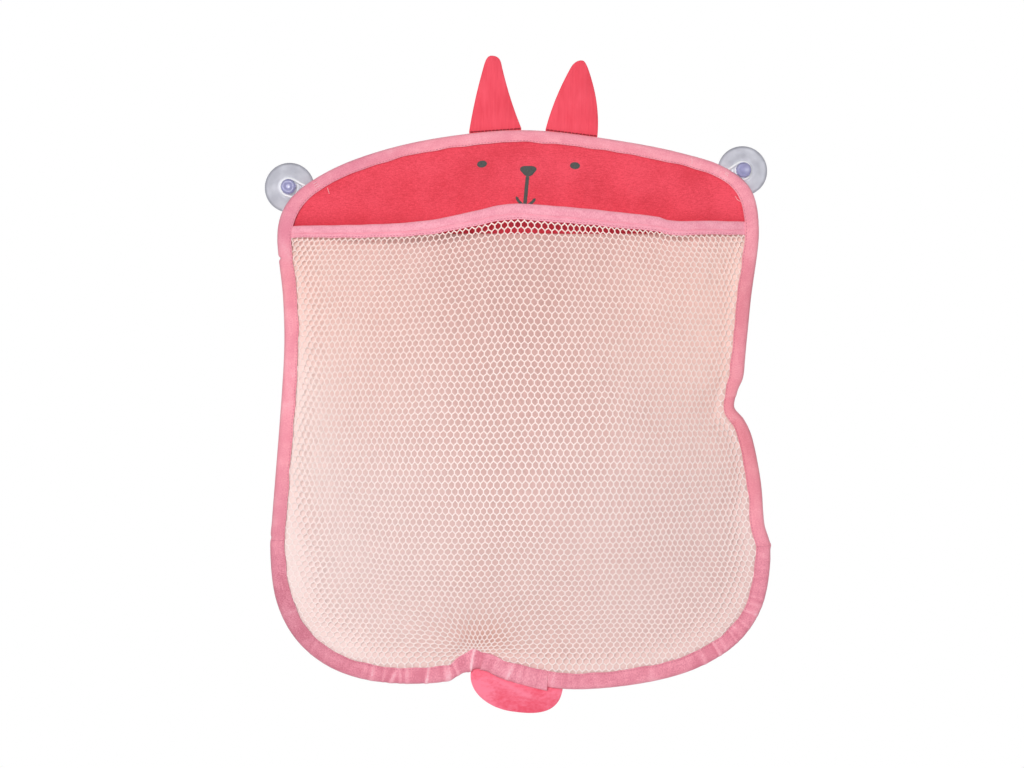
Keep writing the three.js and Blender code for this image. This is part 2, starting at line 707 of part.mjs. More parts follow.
// Each cup stands off the edge of the shoulder, and its loop runs back to a seam behind the binding.
// A loop's turn counts down from level, towards the bag.
function addCup(side, share, cupReach, loopTurn) {
  const foot = onOutline(share, -cupReach);
  const turn = THREE.MathUtils.degToRad(side === 'left' ? loopTurn : 180 - loopTurn);
  const inward = -foot.outward.x * Math.cos(turn) + foot.outward.z * Math.sin(turn);
  const cup = addPiece(`${side}_cup`, new THREE.LatheGeometry(cupProfile, cupFacets), materials.vinyl);
  cup.position.copy(foot.point);
  const loop = addPiece(`${side}_loop`, loopGeometry(cupReach / inward + loopTail), materials.cord);
  loop.position.copy(place(foot.point.x, foot.point.z, cordDepth));
  loop.rotation.y = turn;
  return foot.point;
}

const leftCup = addCup('left', leftShareAt(leftCupDrop), leftCupReach, leftLoopTurn);
const rightCup = addCup('right', rightShareAt(rightCupDrop), rightCupReach, rightLoopTurn);

// The origin moves to the middle of the line between the cups
bag.position.copy(leftCup).add(rightCup).multiplyScalar(-0.5);

const bathToyOrganizer = new THREE.Group();
bathToyOrganizer.add(bag);

export default bathToyOrganizer;
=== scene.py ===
import json
import math
import bpy
import numpy as np
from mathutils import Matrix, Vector


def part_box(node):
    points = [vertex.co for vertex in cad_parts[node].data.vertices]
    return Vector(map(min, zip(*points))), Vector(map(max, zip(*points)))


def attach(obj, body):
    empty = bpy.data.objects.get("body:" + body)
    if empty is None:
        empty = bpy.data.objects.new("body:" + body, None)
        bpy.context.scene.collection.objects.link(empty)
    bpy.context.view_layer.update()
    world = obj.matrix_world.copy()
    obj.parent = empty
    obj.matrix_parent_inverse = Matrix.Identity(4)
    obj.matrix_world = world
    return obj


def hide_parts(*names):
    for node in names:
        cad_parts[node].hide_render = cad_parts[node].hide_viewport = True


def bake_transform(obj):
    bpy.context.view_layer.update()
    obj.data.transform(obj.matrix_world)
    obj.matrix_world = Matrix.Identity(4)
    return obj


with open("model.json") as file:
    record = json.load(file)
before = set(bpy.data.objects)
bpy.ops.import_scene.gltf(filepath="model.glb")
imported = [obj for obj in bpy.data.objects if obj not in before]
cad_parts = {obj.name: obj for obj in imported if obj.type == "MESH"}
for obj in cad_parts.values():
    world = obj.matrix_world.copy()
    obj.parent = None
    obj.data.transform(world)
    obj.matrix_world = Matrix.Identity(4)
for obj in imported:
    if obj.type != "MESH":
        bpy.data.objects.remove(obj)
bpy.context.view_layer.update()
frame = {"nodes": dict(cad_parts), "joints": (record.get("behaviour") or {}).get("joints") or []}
mm = 0.001
tiny = 1e-12  # keeps a length of zero from dividing
sides = ("left", "right")
bagShift = np.array([0.0004, -0.001392])  # where the bag's own zero lies in the frame
jointAt = {joint["name"]: joint for joint in frame["joints"]}
print("frame loaded with", len(frame["nodes"]), "nodes")


# Small tools for shapes

driftSpec = dict(waves=7, shortest=0.7, longer=0.9, circle=6.28)  # lengths as shares of the one asked for


def smoothStep(low, high, value):
    t = np.clip((value - low) / (high - low), 0, 1)
    return t * t * (3 - 2 * t)


def hump(away, reach):  # 1 in its middle, fading on both sides
    return np.exp(-(away / reach) ** 2)


def mixed(a, b, share):
    return a + share * (b - a)


def ripple(share, waves, seed):  # smooth wander round a closed loop, about -1 to 1
    phases = np.random.default_rng(seed).uniform(0, 2 * np.pi, len(waves))
    total = sum(np.sin(2 * np.pi * n * share + p) for n, p in zip(waves, phases))
    return total / math.sqrt(len(waves))


def drift(x, z, length, seed):  # smooth wander over a flat cloth, about -1 to 1
    draws = np.random.default_rng(seed).uniform(0, 1, (driftSpec["waves"], 3))
    total = 0
    for turn, phase, stretch in draws:
        k = 2 * np.pi / (length * (driftSpec["shortest"] + driftSpec["longer"] * stretch))
        way = x * math.cos(math.pi * turn) + z * math.sin(math.pi * turn)
        total = total + np.sin(k * way + driftSpec["circle"] * phase)
    return total / math.sqrt(driftSpec["waves"])


def onBag(x, z):  # a place on the bag, in millimetres from its own zero
    return bagShift[0] + x * mm, bagShift[1] + z * mm


def seenFrom(middle, x, z):  # the turn from straight up and the distance of places, seen from a middle
    return np.arctan2(x - middle[0], z - middle[1]), np.hypot(x - middle[0], z - middle[1])


def lengthAlong(points):  # distance walked along a line to each of its points
    return np.concatenate([[0], np.cumsum(np.linalg.norm(np.diff(points, axis=0), axis=1))])


def readAt(at, marks, values, **wrap):  # columns of values, read between their marks
    return np.stack([np.interp(at, marks, column, **wrap) for column in values.T], axis=1)


def evenOpen(points, count):  # an open line cut into even steps
    length = lengthAlong(points)
    return readAt(np.linspace(0, length[-1], count), length, points)


def smoothThrough(points, at):  # smooth curve through knots, read at x places
    x, y = np.array(points, float).T
    slope = np.gradient(y, x)
    k = np.clip(np.searchsorted(x, at) - 1, 0, len(x) - 2)
    span = x[k + 1] - x[k]
    t = np.clip((at - x[k]) / span, 0, 1)
    return (y[k] * (1 + 2 * t) * (1 - t) ** 2 + slope[k] * span * t * (1 - t) ** 2
            + y[k + 1] * t * t * (3 - 2 * t) + slope[k + 1] * span * t * t * (t - 1))


def bezier(a, b, c, count):
    t = np.linspace(0, 1, count, endpoint=False)[:, None]
    return (1 - t) ** 2 * np.array(a) + 2 * t * (1 - t) * np.array(b) + t ** 2 * np.array(c)


# Small tools for pieces

def activate(piece):
    bpy.ops.object.select_all(action="DESELECT")
    piece.select_set(True)
    bpy.context.view_layer.objects.active = piece


def startPiece(name, addPrimitive, **sizes):  # a primitive, selected alone, to shape a piece from
    bpy.ops.object.select_all(action="DESELECT")
    addPrimitive(**sizes)
    piece = bpy.context.object
    piece.name = name
    return piece


def pointsOf(piece):
    return np.array([v.co for v in piece.data.vertices])


def movePoints(piece, places):
    piece.data.vertices.foreach_set("co", places.astype(np.float32).ravel())
    piece.data.update()


def gridPiece(name, surface):  # a grid primitive laid over rows and columns of points
    rows, columns = surface.shape[:2]
    piece = startPiece(name, bpy.ops.mesh.primitive_grid_add, x_subdivisions=columns - 1,
                       y_subdivisions=rows - 1, size=1)
    movePoints(piece, surface)
    return piece


def meshPiece(name, points, faces):
    mesh = bpy.data.meshes.new(name)
    mesh.from_pydata(np.array(points), [], faces)
    piece = bpy.data.objects.new(name, mesh)
    bpy.context.scene.collection.objects.link(piece)
    activate(piece)
    return piece


def weld(piece, gap=0.01 * mm, fill=False):  # close the seams, and open ends if asked, and turn the faces out
    activate(piece)
    bpy.ops.object.mode_set(mode="EDIT")
    bpy.ops.mesh.select_all(action="SELECT")
    bpy.ops.mesh.remove_doubles(threshold=gap)
    if fill:
        bpy.ops.mesh.fill_holes(sides=0)
        bpy.ops.mesh.select_all(action="SELECT")
    bpy.ops.mesh.normals_make_consistent(inside=False)
    bpy.ops.object.mode_set(mode="OBJECT")


def markFoldShade(piece, marks):  # how far each point stands up or lies down in a fold, in millimetres, which the material turns into painted shade in valleys and a painted highlight on ridges
    layer = piece.data.attributes.new("crease", "FLOAT", "POINT")
    layer.data.foreach_set("value", np.array(marks, dtype=np.float32).ravel())


def paintTone(piece, colours):  # a colour for each point, which the material takes up
    layer = piece.data.attributes.new("tone", "FLOAT_COLOR", "POINT")
    layer.data.foreach_set("color", np.insert(colours, 3, 1, axis=1).astype(np.float32).ravel())


def thicken(piece, thickness):
    activate(piece)
    wall = piece.modifiers.new("wall", "SOLIDIFY")
    wall.thickness = thickness
    wall.offset = 0
    bpy.ops.object.modifier_apply(modifier=wall.name)


def smoothShade(piece, degrees=60):
    activate(piece)
    bpy.ops.object.shade_smooth_by_angle(angle=math.radians(degrees))


def dress(piece, material):
    piece.data.materials.clear()
    piece.data.materials.append(material)


# Small tools for materials

def feed(tree, socket, value):  # linked where the value comes from another node
    if isinstance(value, bpy.types.NodeSocket):
        tree.links.new(value, socket)
    else:
        socket.default_value = value


def addNode(tree, kind, inputs, **settings):
    node = tree.nodes.new("ShaderNode" + kind)
    for name, value in settings.items():
        setattr(node, name, value)
    for name, value in inputs.items():
        feed(tree, node.inputs[name], value)
    return node


def startMaterial(name):
    material = bpy.data.materials.new(name)
    material.use_nodes = True
    return material, material.node_tree


def finishShader(tree, inputs):
    for name, value in inputs.items():
        feed(tree, tree.nodes["Principled BSDF"].inputs[name], value)


def coordinates(tree, source="Object", scale=(1, 1, 1)):
    where = addNode(tree, "TexCoord", {})
    return addNode(tree, "Mapping", {"Vector": where.outputs[source], "Scale": scale}).outputs["Vector"]


def noiseAt(tree, vector, scale, detail=3.0):
    return addNode(tree, "TexNoise", {"Vector": vector, "Scale": scale, "Detail": detail}).outputs["Fac"]


def combine(tree, operation, a, b):
    return addNode(tree, "Math", {0: a, 1: b}, operation=operation).outputs["Value"]


def bandsAt(tree, vector, direction, pitch):  # bands of thread, half above zero and half below
    scale = math.pi / (10 * pitch)  # in the wave texture's own measure
    bands = addNode(tree, "TexWave", {"Vector": vector, "Scale": scale}, bands_direction=direction)
    return combine(tree, "SUBTRACT", bands.outputs["Fac"], 0.5)


def bumpFrom(tree, height, strength, distance, **under):
    inputs = {"Height": height, "Strength": strength, "Distance": distance, **under}
    return addNode(tree, "Bump", inputs).outputs["Normal"]


def tint(tree, factor, levels, dark, pale):  # two colours mixed between two levels
    ramp = addNode(tree, "ValToRGB", {"Fac": factor})
    for element, level, colour in zip(ramp.color_ramp.elements, levels, (dark, pale)):
        element.position = level
        element.color = (*colour, 1)
    return ramp


def mixColours(tree, a, b, factor=1.0, blend="MIX"):
    inputs = {"Factor": factor, "A": a, "B": b}
    return addNode(tree, "Mix", inputs, data_type="RGBA", blend_type=blend).outputs["Result"]


def shadeByHeight(tree, colour, lowColour, span):  # painted shade: one colour high on the bag and another low on it
    place = addNode(tree, "SeparateXYZ", {"Vector": coordinates(tree)})
    inputs = {"Value": place.outputs["Z"], "From Min": span[0], "From Max": span[1]}
    level = addNode(tree, "MapRange", inputs, interpolation_type="SMOOTHSTEP")
    return mixColours(tree, colour, lowColour, level.outputs["Result"])


def timesTone(tree, colour):  # tinted by the colours painted on the points: painted shade on the lining and tape, and the cups' tints with their painted dark rim
    tone = addNode(tree, "Attribute", {}, attribute_name="tone")
    return mixColours(tree, tone.outputs["Color"], colour, blend="MULTIPLY")


# Woven cloths and tapes

weaveSpec = dict(
    levels=(0.36, 0.64), ridgeAt=0.98, streakDetail=4.0, streakRelief=0.25, streakDepth=0.25 * mm,
    fleckScale=1100.0, fleckDetail=1.0, weaveDepth=0.4 * mm, specular=0.25, sheenRoughness=0.5)
flatWeave = dict(map="Object", span=(1, 1, 1), ways=("X", "Z"), thread=0.5 * mm, relief=0.35,
                 roughness=0.85, sheen=0.12)
tapeWeave = dict(map="UV", ways=("DIAGONAL", "X"), thread=0.45 * mm, relief=0.3, roughness=0.8, sheen=0.15)


def clothColour(tree, shade, dark, pale, spec):
    ramp = tint(tree, shade, weaveSpec["levels"], dark, pale)
    if "ridge" in spec:  # a painted highlight on the strongest folds
        ramp.color_ramp.elements.new(weaveSpec["ridgeAt"]).color = (*spec["ridge"], 1)
    return ramp.outputs["Color"]


def wovenCloth(name, weave, **finish):  # plain weave with slubby threads along one way
    spec = {**weave, **finish}
    material, tree = startMaterial(name)
    flat = coordinates(tree, spec["map"], spec["span"])
    slubs = coordinates(tree, spec["map"], [s * k for s, k in zip(spec["span"], spec["slub"])])
    streaks = noiseAt(tree, slubs, 1.0, weaveSpec["streakDetail"])
    patches = noiseAt(tree, flat, spec["patch"])
    shade = combine(tree, "MULTIPLY", combine(tree, "ADD", streaks, patches), 0.5)
    if "fleck" in spec:  # single threads paler or duller than the rest
        flecks = noiseAt(tree, flat, weaveSpec["fleckScale"], weaveSpec["fleckDetail"])
        flecks = combine(tree, "MULTIPLY", combine(tree, "SUBTRACT", flecks, 0.5), spec["fleck"])
        shade = combine(tree, "ADD", shade, flecks)
    if "crease" in spec:  # painted highlight on the folds' ridges and painted shade in their valleys
        crease = addNode(tree, "Attribute", {}, attribute_name="crease").outputs["Fac"]
        shade = combine(tree, "ADD", shade, combine(tree, "MULTIPLY", crease, spec["crease"]))
    colour = clothColour(tree, shade, spec["dark"], spec["colour"], spec)
    if "low" in spec:
        shadedLow = clothColour(tree, shade, spec["lowDark"], spec["low"], spec)
        colour = shadeByHeight(tree, colour, shadedLow, spec["lowSpan"])
    if "toned" in spec:
        colour = timesTone(tree, colour)
    warp, weft = (bandsAt(tree, flat, way, spec["thread"]) for way in spec["ways"])
    rough = bumpFrom(tree, streaks, weaveSpec["streakRelief"], weaveSpec["streakDepth"])
    threads = combine(tree, "MULTIPLY", warp, weft)
    woven = bumpFrom(tree, threads, spec["relief"], weaveSpec["weaveDepth"], Normal=rough)
    finishShader(tree, {"Base Color": colour, "Normal": woven, "Roughness": spec["roughness"],
                        "Specular IOR Level": weaveSpec["specular"], "Sheen Weight": spec["sheen"],
                        "Sheen Roughness": weaveSpec["sheenRoughness"]})
    return material


# the low colours are painted shade: the face darker low down, where the hem shades it
coralCloth = wovenCloth(
    "coral cloth", flatWeave, slub=(340, 60, 1300), patch=34.0, fleck=0.4, colour=(0.92, 0.088, 0.132),
    dark=(0.74, 0.05, 0.078), low=(0.72, 0.053, 0.084), lowDark=(0.6, 0.037, 0.06), lowSpan=(-0.024, -0.046))
# crease, here and on the binding tape, sets how strongly fold heights paint shade in valleys and highlight on
# ridges
earCloth = wovenCloth(
    "ear cloth", flatWeave, slub=(700, 60, 70), patch=22.0, crease=0.12, colour=(0.95, 0.098, 0.145),
    dark=(0.86, 0.07, 0.108))
tailCloth = wovenCloth(
    "tail cloth", flatWeave, slub=(300, 60, 500), patch=22.0, crease=0.13, colour=(1.0, 0.23, 0.335),
    dark=(0.87, 0.095, 0.16))
paleCloth = wovenCloth(
    "pale lining", flatWeave, slub=(500, 60, 90), patch=22.0, toned=True, colour=(1.0, 1.0, 1.0),
    dark=(0.96, 0.925, 0.92), thread=0.4 * mm, relief=0.25, roughness=0.8, sheen=0.1)
# the low colours are painted shade on the lower tape, which faces away from the light
bindingTape = wovenCloth(
    "binding tape", tapeWeave, span=(1.53, 0.058, 1), slub=(70, 190, 1), patch=48.0, fleck=0.7, crease=0.3,
    toned=True, colour=(0.97, 0.39, 0.465), dark=(0.87, 0.29, 0.37), low=(0.9, 0.34, 0.43),
    lowDark=(0.71, 0.21, 0.29), lowSpan=(-0.27, -0.31), ridge=(1.0, 0.62, 0.69))
hemTapeCloth = wovenCloth(
    "hem tape", tapeWeave, span=(0.37, 0.044, 1), slub=(160, 420, 1), patch=60.0, fleck=0.9,
    colour=(0.98, 0.43, 0.525), dark=(0.87, 0.32, 0.415))


# Yarn, thread, ink and cord

plainSpec = dict(levels=(0.35, 0.65), depth=0.2 * mm)


def plainFinish(name, colour, dark, roughness, grain, relief, low=None, lowSpan=None):
    material, tree = startMaterial(name)
    cloud = noiseAt(tree, coordinates(tree), grain)
    shade = tint(tree, cloud, plainSpec["levels"], dark, colour).outputs["Color"]
    if low:
        lowShade = tint(tree, cloud, plainSpec["levels"], *low).outputs["Color"]
        shade = shadeByHeight(tree, shade, lowShade, lowSpan)
    finishShader(tree, {"Base Color": shade, "Normal": bumpFrom(tree, cloud, relief, plainSpec["depth"]),
                        "Roughness": roughness})
    return material


# the yarn is darker and warmer high on the bag, a painted shade and painted warm reflection; it is paler low
# down
netYarn = plainFinish("net yarn", (0.99, 0.82, 0.77), (0.97, 0.75, 0.7), 0.5, 900.0, 0.2,
                      low=((0.97, 0.8, 0.77), (0.99, 0.87, 0.845)), lowSpan=(-0.06, -0.26))
pinkThread = plainFinish("pink thread", (0.66, 0.2, 0.27), (0.52, 0.13, 0.19), 0.6, 2500.0, 0.4)
# a dark cord that paints the shadow gap at the ear bases
shadowLineThread = plainFinish("red thread", (0.36, 0.014, 0.03), (0.24, 0.008, 0.018), 0.7, 2500.0, 0.4)
paleThread = plainFinish("pale thread", (0.95, 0.72, 0.74), (0.9, 0.6, 0.64), 0.5, 2500.0, 0.4)
faceInk = plainFinish("face ink", (0.07, 0.078, 0.073), (0.05, 0.056, 0.053), 0.75, 700.0, 0.15)
whiteCord = plainFinish("white cord", (0.98, 0.98, 0.99), (0.92, 0.92, 0.95), 0.5, 1600.0, 0.35)


# Clear vinyl: hazy, over the colours that each cup carries, a painted dark rim among them

vinylSpec = dict(grain=110.0, detail=2.0, levels=(0.35, 0.68), cloudy=(0.8, 0.8, 0.82), clear=(1.0, 1.0, 1.0),
                 relief=0.12, depth=0.3 * mm, roughness=0.28, ior=1.5, transmission=0.6)


def clearVinyl():
    material, tree = startMaterial("clear vinyl")
    haze = noiseAt(tree, coordinates(tree), vinylSpec["grain"], vinylSpec["detail"])
    shade = tint(tree, haze, vinylSpec["levels"], vinylSpec["cloudy"], vinylSpec["clear"]).outputs["Color"]
    finishShader(tree, {"Base Color": timesTone(tree, shade),
                        "Normal": bumpFrom(tree, haze, vinylSpec["relief"], vinylSpec["depth"]),
                        "Roughness": vinylSpec["roughness"], "IOR": vinylSpec["ior"],
                        "Transmission Weight": vinylSpec["transmission"]})
    return material


vinyl = clearVinyl()
print("materials ready")


# Outline of the bag, taken from the rim of the back panel in the frame

outlineSpec = dict(middle=(0.0, -0.19), steps=16, stations=1920, faceGap=0.01 * mm, netHalf=0.4 * mm)
bagMiddle = np.array(outlineSpec["middle"])
rimCount = outlineSpec["stations"]


def depthsOf(node):  # how far a node's back and front lie in front of the wall
    low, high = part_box(node)
    return -high.y, -low.y


bindingBack, bindingFront = depthsOf("edge_binding")
panelBack, panelFront = depthsOf("back_panel")
faceBack, faceFront = depthsOf("face_panel")
netDepth = depthsOf("front_net")[0] + outlineSpec["netHalf"]
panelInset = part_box("back_panel")[0].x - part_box("edge_binding")[0].x


def rimOf(node):  # the corners of a node's front face, in their order round the bag
    corners = pointsOf(frame["nodes"][node])
    front = corners[corners[:, 1] < corners[:, 1].min() + outlineSpec["faceGap"]]
    flat = np.unique(np.round(front[:, [0, 2]], 6), axis=0)
    return flat[np.argsort(seenFrom(bagMiddle, *flat.T)[0])]


def evenLoop(points, count):  # smooth closed curve through points, cut into even steps from the top
    a, b, c, d = (np.roll(points, shift, axis=0)[:, None, :] for shift in (1, 0, -1, -2))
    t = np.linspace(0, 1, outlineSpec["steps"], endpoint=False)[None, :, None]
    curve = 0.5 * (2 * b + (c - a) * t + (2 * a - 5 * b + 4 * c - d) * t ** 2
                   + (3 * b - a - 3 * c + d) * t ** 3)
    curve = curve.reshape(-1, points.shape[1])
    top = np.argmin(np.abs(seenFrom(bagMiddle, *curve.T)[0]))
    curve = np.roll(curve, -top, axis=0)
    closed = np.vstack([curve, curve[:1]])
    length = lengthAlong(closed)
    return readAt(np.linspace(0, length[-1], count, endpoint=False), length, closed), length[-1]


rim, rimLength = evenLoop(rimOf("back_panel"), rimCount)
along = np.roll(rim, -2, axis=0) - np.roll(rim, 2, axis=0)
along /= np.linalg.norm(along, axis=1)[:, None]
outward = np.stack([-along[:, 1], along[:, 0]], axis=1)
stations = np.arange(rimCount)
shares = stations / rimCount
rimX, rimZ = ((rim - bagShift) / mm).T  # in millimetres from the bag's own zero


def edgeLine(inset):  # the outline moved in by an inset from the binding's outer edge
    return rim + outward * (panelInset - inset)


def rimIndex(near, values, target):  # the station, among those near, whose value comes closest
    return near[np.argmin(np.abs(values[near] - target))]


def distanceIn(x, z):  # rough distance in from the rim, along the line to the bag's middle
    turn, distance = seenFrom(bagMiddle, x, z)
    rimTurn, rimReach = seenFrom(bagMiddle, *rim.T)
    return np.interp(turn, np.unwrap(rimTurn), rimReach, period=2 * np.pi) - distance


print("outline is", round(rimLength, 3), "m round")


# Camera: square on to the front, 0.8 mm to a pixel at the binding

cameraSpec = dict(lens=85.0, sensor=36.0, distance=1.934, aim=onBag(-3.6, -163.4))
bpy.ops.object.camera_add(
    location=(cameraSpec["aim"][0], -cameraSpec["distance"] - netDepth, cameraSpec["aim"][1]),
    rotation=(math.radians(90), 0, 0))
camera = bpy.context.object
camera.data.lens = cameraSpec["lens"]
camera.data.sensor_width = cameraSpec["sensor"]
bpy.context.scene.camera = camera


# Back panel: pale lining over the whole outline, a little rumpled between its sewn edges

backSpec = dict(
    stations=240, rings=24, thickness=0.6 * mm, slackReach=0.05,
    rumple=1.3 * mm, rumpleLength=0.11, rumpleSeed=3,  # smooth wander all over
    fold=1.1 * mm, foldPitch=0.043, foldSway=1.1, swayLength=0.05, foldSpan=(-0.16, -0.05),  # high up
    lie=2.0 * mm, lieReach=(0.003, 0.012), lieSpan=(-0.05, -0.08),  # forward of the seams, below the mouth
    # painted shade on the lining's front: the middle, under and corner tones darken it where the net and hem
    # shade it
    sideTone=(0.98, 0.715, 0.65), middleTone=(0.78, 0.53, 0.49), middleReach=0.1,
    lowTone=(0.95, 0.795, 0.77), cornerTone=(0.84, 0.64, 0.615), cornerSpan=(0, 0.15),
    underTone=(0.86, 0.63, 0.595), underReach=0.12, lowSpan=(-0.3, -0.09), backTone=(0.97, 0.77, 0.73),
    spots=((onBag(-26, -366), (0.022, 0.013), (0.8, 0.5, 0.44)),  # place, reach and tone: a painted shadow under the pucker, then a painted lit strip by the left seam
           (onBag(-171, -200), (0.022, 0.075), (1.0, 0.84, 0.8))))
panelMiddle = (panelBack + panelFront) / 2


def backRumple(x, z):  # forward is positive
    inside = distanceIn(x, z)
    slack = smoothStep(0, backSpec["slackReach"], inside)
    sway = backSpec["foldSway"] * np.sin(z / backSpec["swayLength"])
    folds = np.sin(2 * np.pi * x / backSpec["foldPitch"] + sway) * smoothStep(*backSpec["foldSpan"], z)
    lie = backSpec["lie"] * smoothStep(*backSpec["lieReach"], inside) * smoothStep(*backSpec["lieSpan"], z)
    rumple = backSpec["rumple"] * drift(x, z, backSpec["rumpleLength"], backSpec["rumpleSeed"])
    return lie + slack * (rumple + backSpec["fold"] * folds)


def paintedLiningShade(x, z):  # painted shade: duller deep in the bag, low in its middle and in its lower right corner, with a painted shadow spot and a painted light spot
    tone = {name: np.array(value) for name, value in backSpec.items() if name.endswith("Tone")}
    high = mixed(tone["sideTone"], tone["middleTone"], hump(x, backSpec["middleReach"]))
    low = mixed(tone["lowTone"], tone["cornerTone"], smoothStep(*backSpec["cornerSpan"], x))
    low = mixed(low, tone["underTone"], hump(x, backSpec["underReach"]))
    lining = mixed(low, high, smoothStep(*backSpec["lowSpan"], z))
    for (spotX, spotZ), (reachX, reachZ), spotTone in backSpec["spots"]:
        lining = mixed(lining, np.array(spotTone), hump(x - spotX, reachX) * hump(z - spotZ, reachZ))
    return lining


def makeBackPanel():
    piece = startPiece("back_lining", bpy.ops.mesh.primitive_circle_add, vertices=backSpec["stations"])
    edge = rim[::rimCount // backSpec["stations"]]
    movePoints(piece, np.insert(edge, 1, -panelMiddle, axis=1))
    middle = (bagMiddle[0], -panelMiddle, bagMiddle[1])
    bpy.ops.object.mode_set(mode="EDIT")
    bpy.ops.mesh.select_all(action="SELECT")
    for ring in range(backSpec["rings"], 1, -1):
        bpy.ops.mesh.extrude_edges_move()
        bpy.ops.transform.resize(value=[(ring - 1) / ring] * 3, center_override=middle)
    bpy.ops.mesh.edge_face_add()
    bpy.ops.mesh.poke()
    bpy.ops.mesh.select_all(action="SELECT")
    bpy.ops.mesh.normals_make_consistent(inside=False)
    bpy.ops.object.mode_set(mode="OBJECT")
    place = pointsOf(piece)
    place[:, 1] -= backRumple(place[:, 0], place[:, 2])
    movePoints(piece, place)
    thicken(piece, backSpec["thickness"])
    place = pointsOf(piece)
    # the painted shade goes on the front only; the back keeps one plain tone
    isFront = np.array([v.normal.y for v in piece.data.vertices])[:, None] < 0
    paintTone(piece, np.where(isFront, paintedLiningShade(place[:, :1], place[:, 2:]), backSpec["backTone"]))
    smoothShade(piece)
    dress(piece, paleCloth)
    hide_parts("back_panel")
    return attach(piece, "bag")


backLining = makeBackPanel()
print("back lining made")


# Face panel: coral crown over the lining, with the printed face

faceSpec = dict(columns=200, rows=30, thickness=0.6 * mm, bottom=onBag(0, -43)[1], lift=0.35 * mm,
                slackReach=0.02, waveLength=0.05, waveSeed=8)
faceMiddle = (faceBack + faceFront) / 2


def faceDepth(x, z):
    slack = smoothStep(0, faceSpec["slackReach"], distanceIn(x, z))
    wave = 1 + drift(x, z, faceSpec["waveLength"], faceSpec["waveSeed"])
    return faceMiddle + backRumple(x, z) + faceSpec["lift"] * slack * wave


def makeFacePanel():
    bottom = faceSpec["bottom"]
    arch = rim[rim[:, 1] > bottom]
    arch = arch[np.argsort(arch[:, 0])]
    spread = 0.5 - 0.5 * np.cos(np.linspace(0, np.pi, faceSpec["columns"]))  # closer together at the ends
    x = mixed(arch[0, 0], arch[-1, 0], spread)
    top = np.interp(x, arch[:, 0], arch[:, 1])
    z = mixed(bottom, top[None, :], np.linspace(0, 1, faceSpec["rows"])[:, None])
    x = np.broadcast_to(x, z.shape)
    piece = gridPiece("face_cloth", np.stack([x, -faceDepth(x, z), z], axis=2))
    thicken(piece, faceSpec["thickness"])
    smoothShade(piece)
    dress(piece, coralCloth)
    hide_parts("face_panel")
    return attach(piece, "bag")


faceCloth = makeFacePanel()

printSpec = dict(
    lift=0.42 * mm, thickness=0.1 * mm, steps=24, taper=0.3, tip=0.35,  # a stroke starts narrow at its tip
    eyes=(onBag(-27.6, 12.6), onBag(46.8, 11.4)), eyeSize=(4.0 * mm, 2.8 * mm), eyeTilt=(0.18, -0.05),
    nose=onBag(9.4, 7.3), noseSize=(6.3 * mm, 4.2 * mm), noseSwell=0.13, outline=40,
    strokes=(  # name, width and points
        ("stem_print", 2.9 * mm, (onBag(9.0, 4.5), onBag(8.2, -4), onBag(6.6, -21))),
        ("left_mouth_print", 2.3 * mm,
         (onBag(-0.3, -13.4), onBag(1.6, -17), onBag(4.6, -20), onBag(6.6, -21))),
        ("right_mouth_print", 2.3 * mm,
         (onBag(15.1, -15), onBag(12.7, -18), onBag(9.6, -20.4), onBag(6.6, -21)))))


def onFace(x, z):
    return np.stack([x, -faceDepth(x, z) - printSpec["lift"], z], axis=-1)


def finishPrint(piece):
    thicken(piece, printSpec["thickness"])
    weld(piece)
    dress(piece, faceInk)
    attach(piece, "bag")


def printPatch(name, x, z):  # a thin printed patch with a round outline
    piece = startPiece(name, bpy.ops.mesh.primitive_circle_add, vertices=len(x), fill_type="TRIFAN")
    place = pointsOf(piece)
    atMiddle = np.hypot(place[:, 0], place[:, 1]) < 0.5  # the circle starts with a radius of 1
    place[~atMiddle] = onFace(x, z)
    place[atMiddle] = onFace(np.array([x.mean()]), np.array([z.mean()]))
    movePoints(piece, place)
    finishPrint(piece)


def printStroke(name, width, points):  # a thin printed line
    t = np.linspace(0, len(points) - 1, printSpec["steps"])
    line = readAt(t, np.arange(len(points)), np.array(points))
    way = np.gradient(line, axis=0)
    way /= np.linalg.norm(way, axis=1)[:, None]
    half = width / 2 * np.clip(t / printSpec["taper"], printSpec["tip"], 1)
    across = np.linspace(-1, 1, 3)[:, None]
    x, z = line[:, 0] + across * way[:, 1] * half, line[:, 1] - across * way[:, 0] * half
    finishPrint(gridPiece(name, onFace(x, z)))


def makeFacePrint():
    turn = np.linspace(0, 2 * np.pi, printSpec["outline"], endpoint=False)
    wide, tall = printSpec["eyeSize"]
    for side, (x, z), tilt in zip(sides, printSpec["eyes"], printSpec["eyeTilt"]):
        a, b = wide * np.cos(turn), tall * np.sin(turn)
        printPatch(side + "_eye_print", x + a * math.cos(tilt) - b * math.sin(tilt),
                   z + a * math.sin(tilt) + b * math.cos(tilt))
    swell = 1 + printSpec["noseSwell"] * np.cos(3 * turn - 0.5 * math.pi)  # three corners, one of them down
    (x, z), (wide, tall) = printSpec["nose"], printSpec["noseSize"]
    printPatch("nose_print", x + wide * swell * np.cos(turn), z + tall * swell * np.sin(turn))
    for name, width, points in printSpec["strokes"]:
        printStroke(name, width, points)


makeFacePrint()
print("face made")


# Hem: a folded band from binding to binding, rising and bowing forwards to the middle

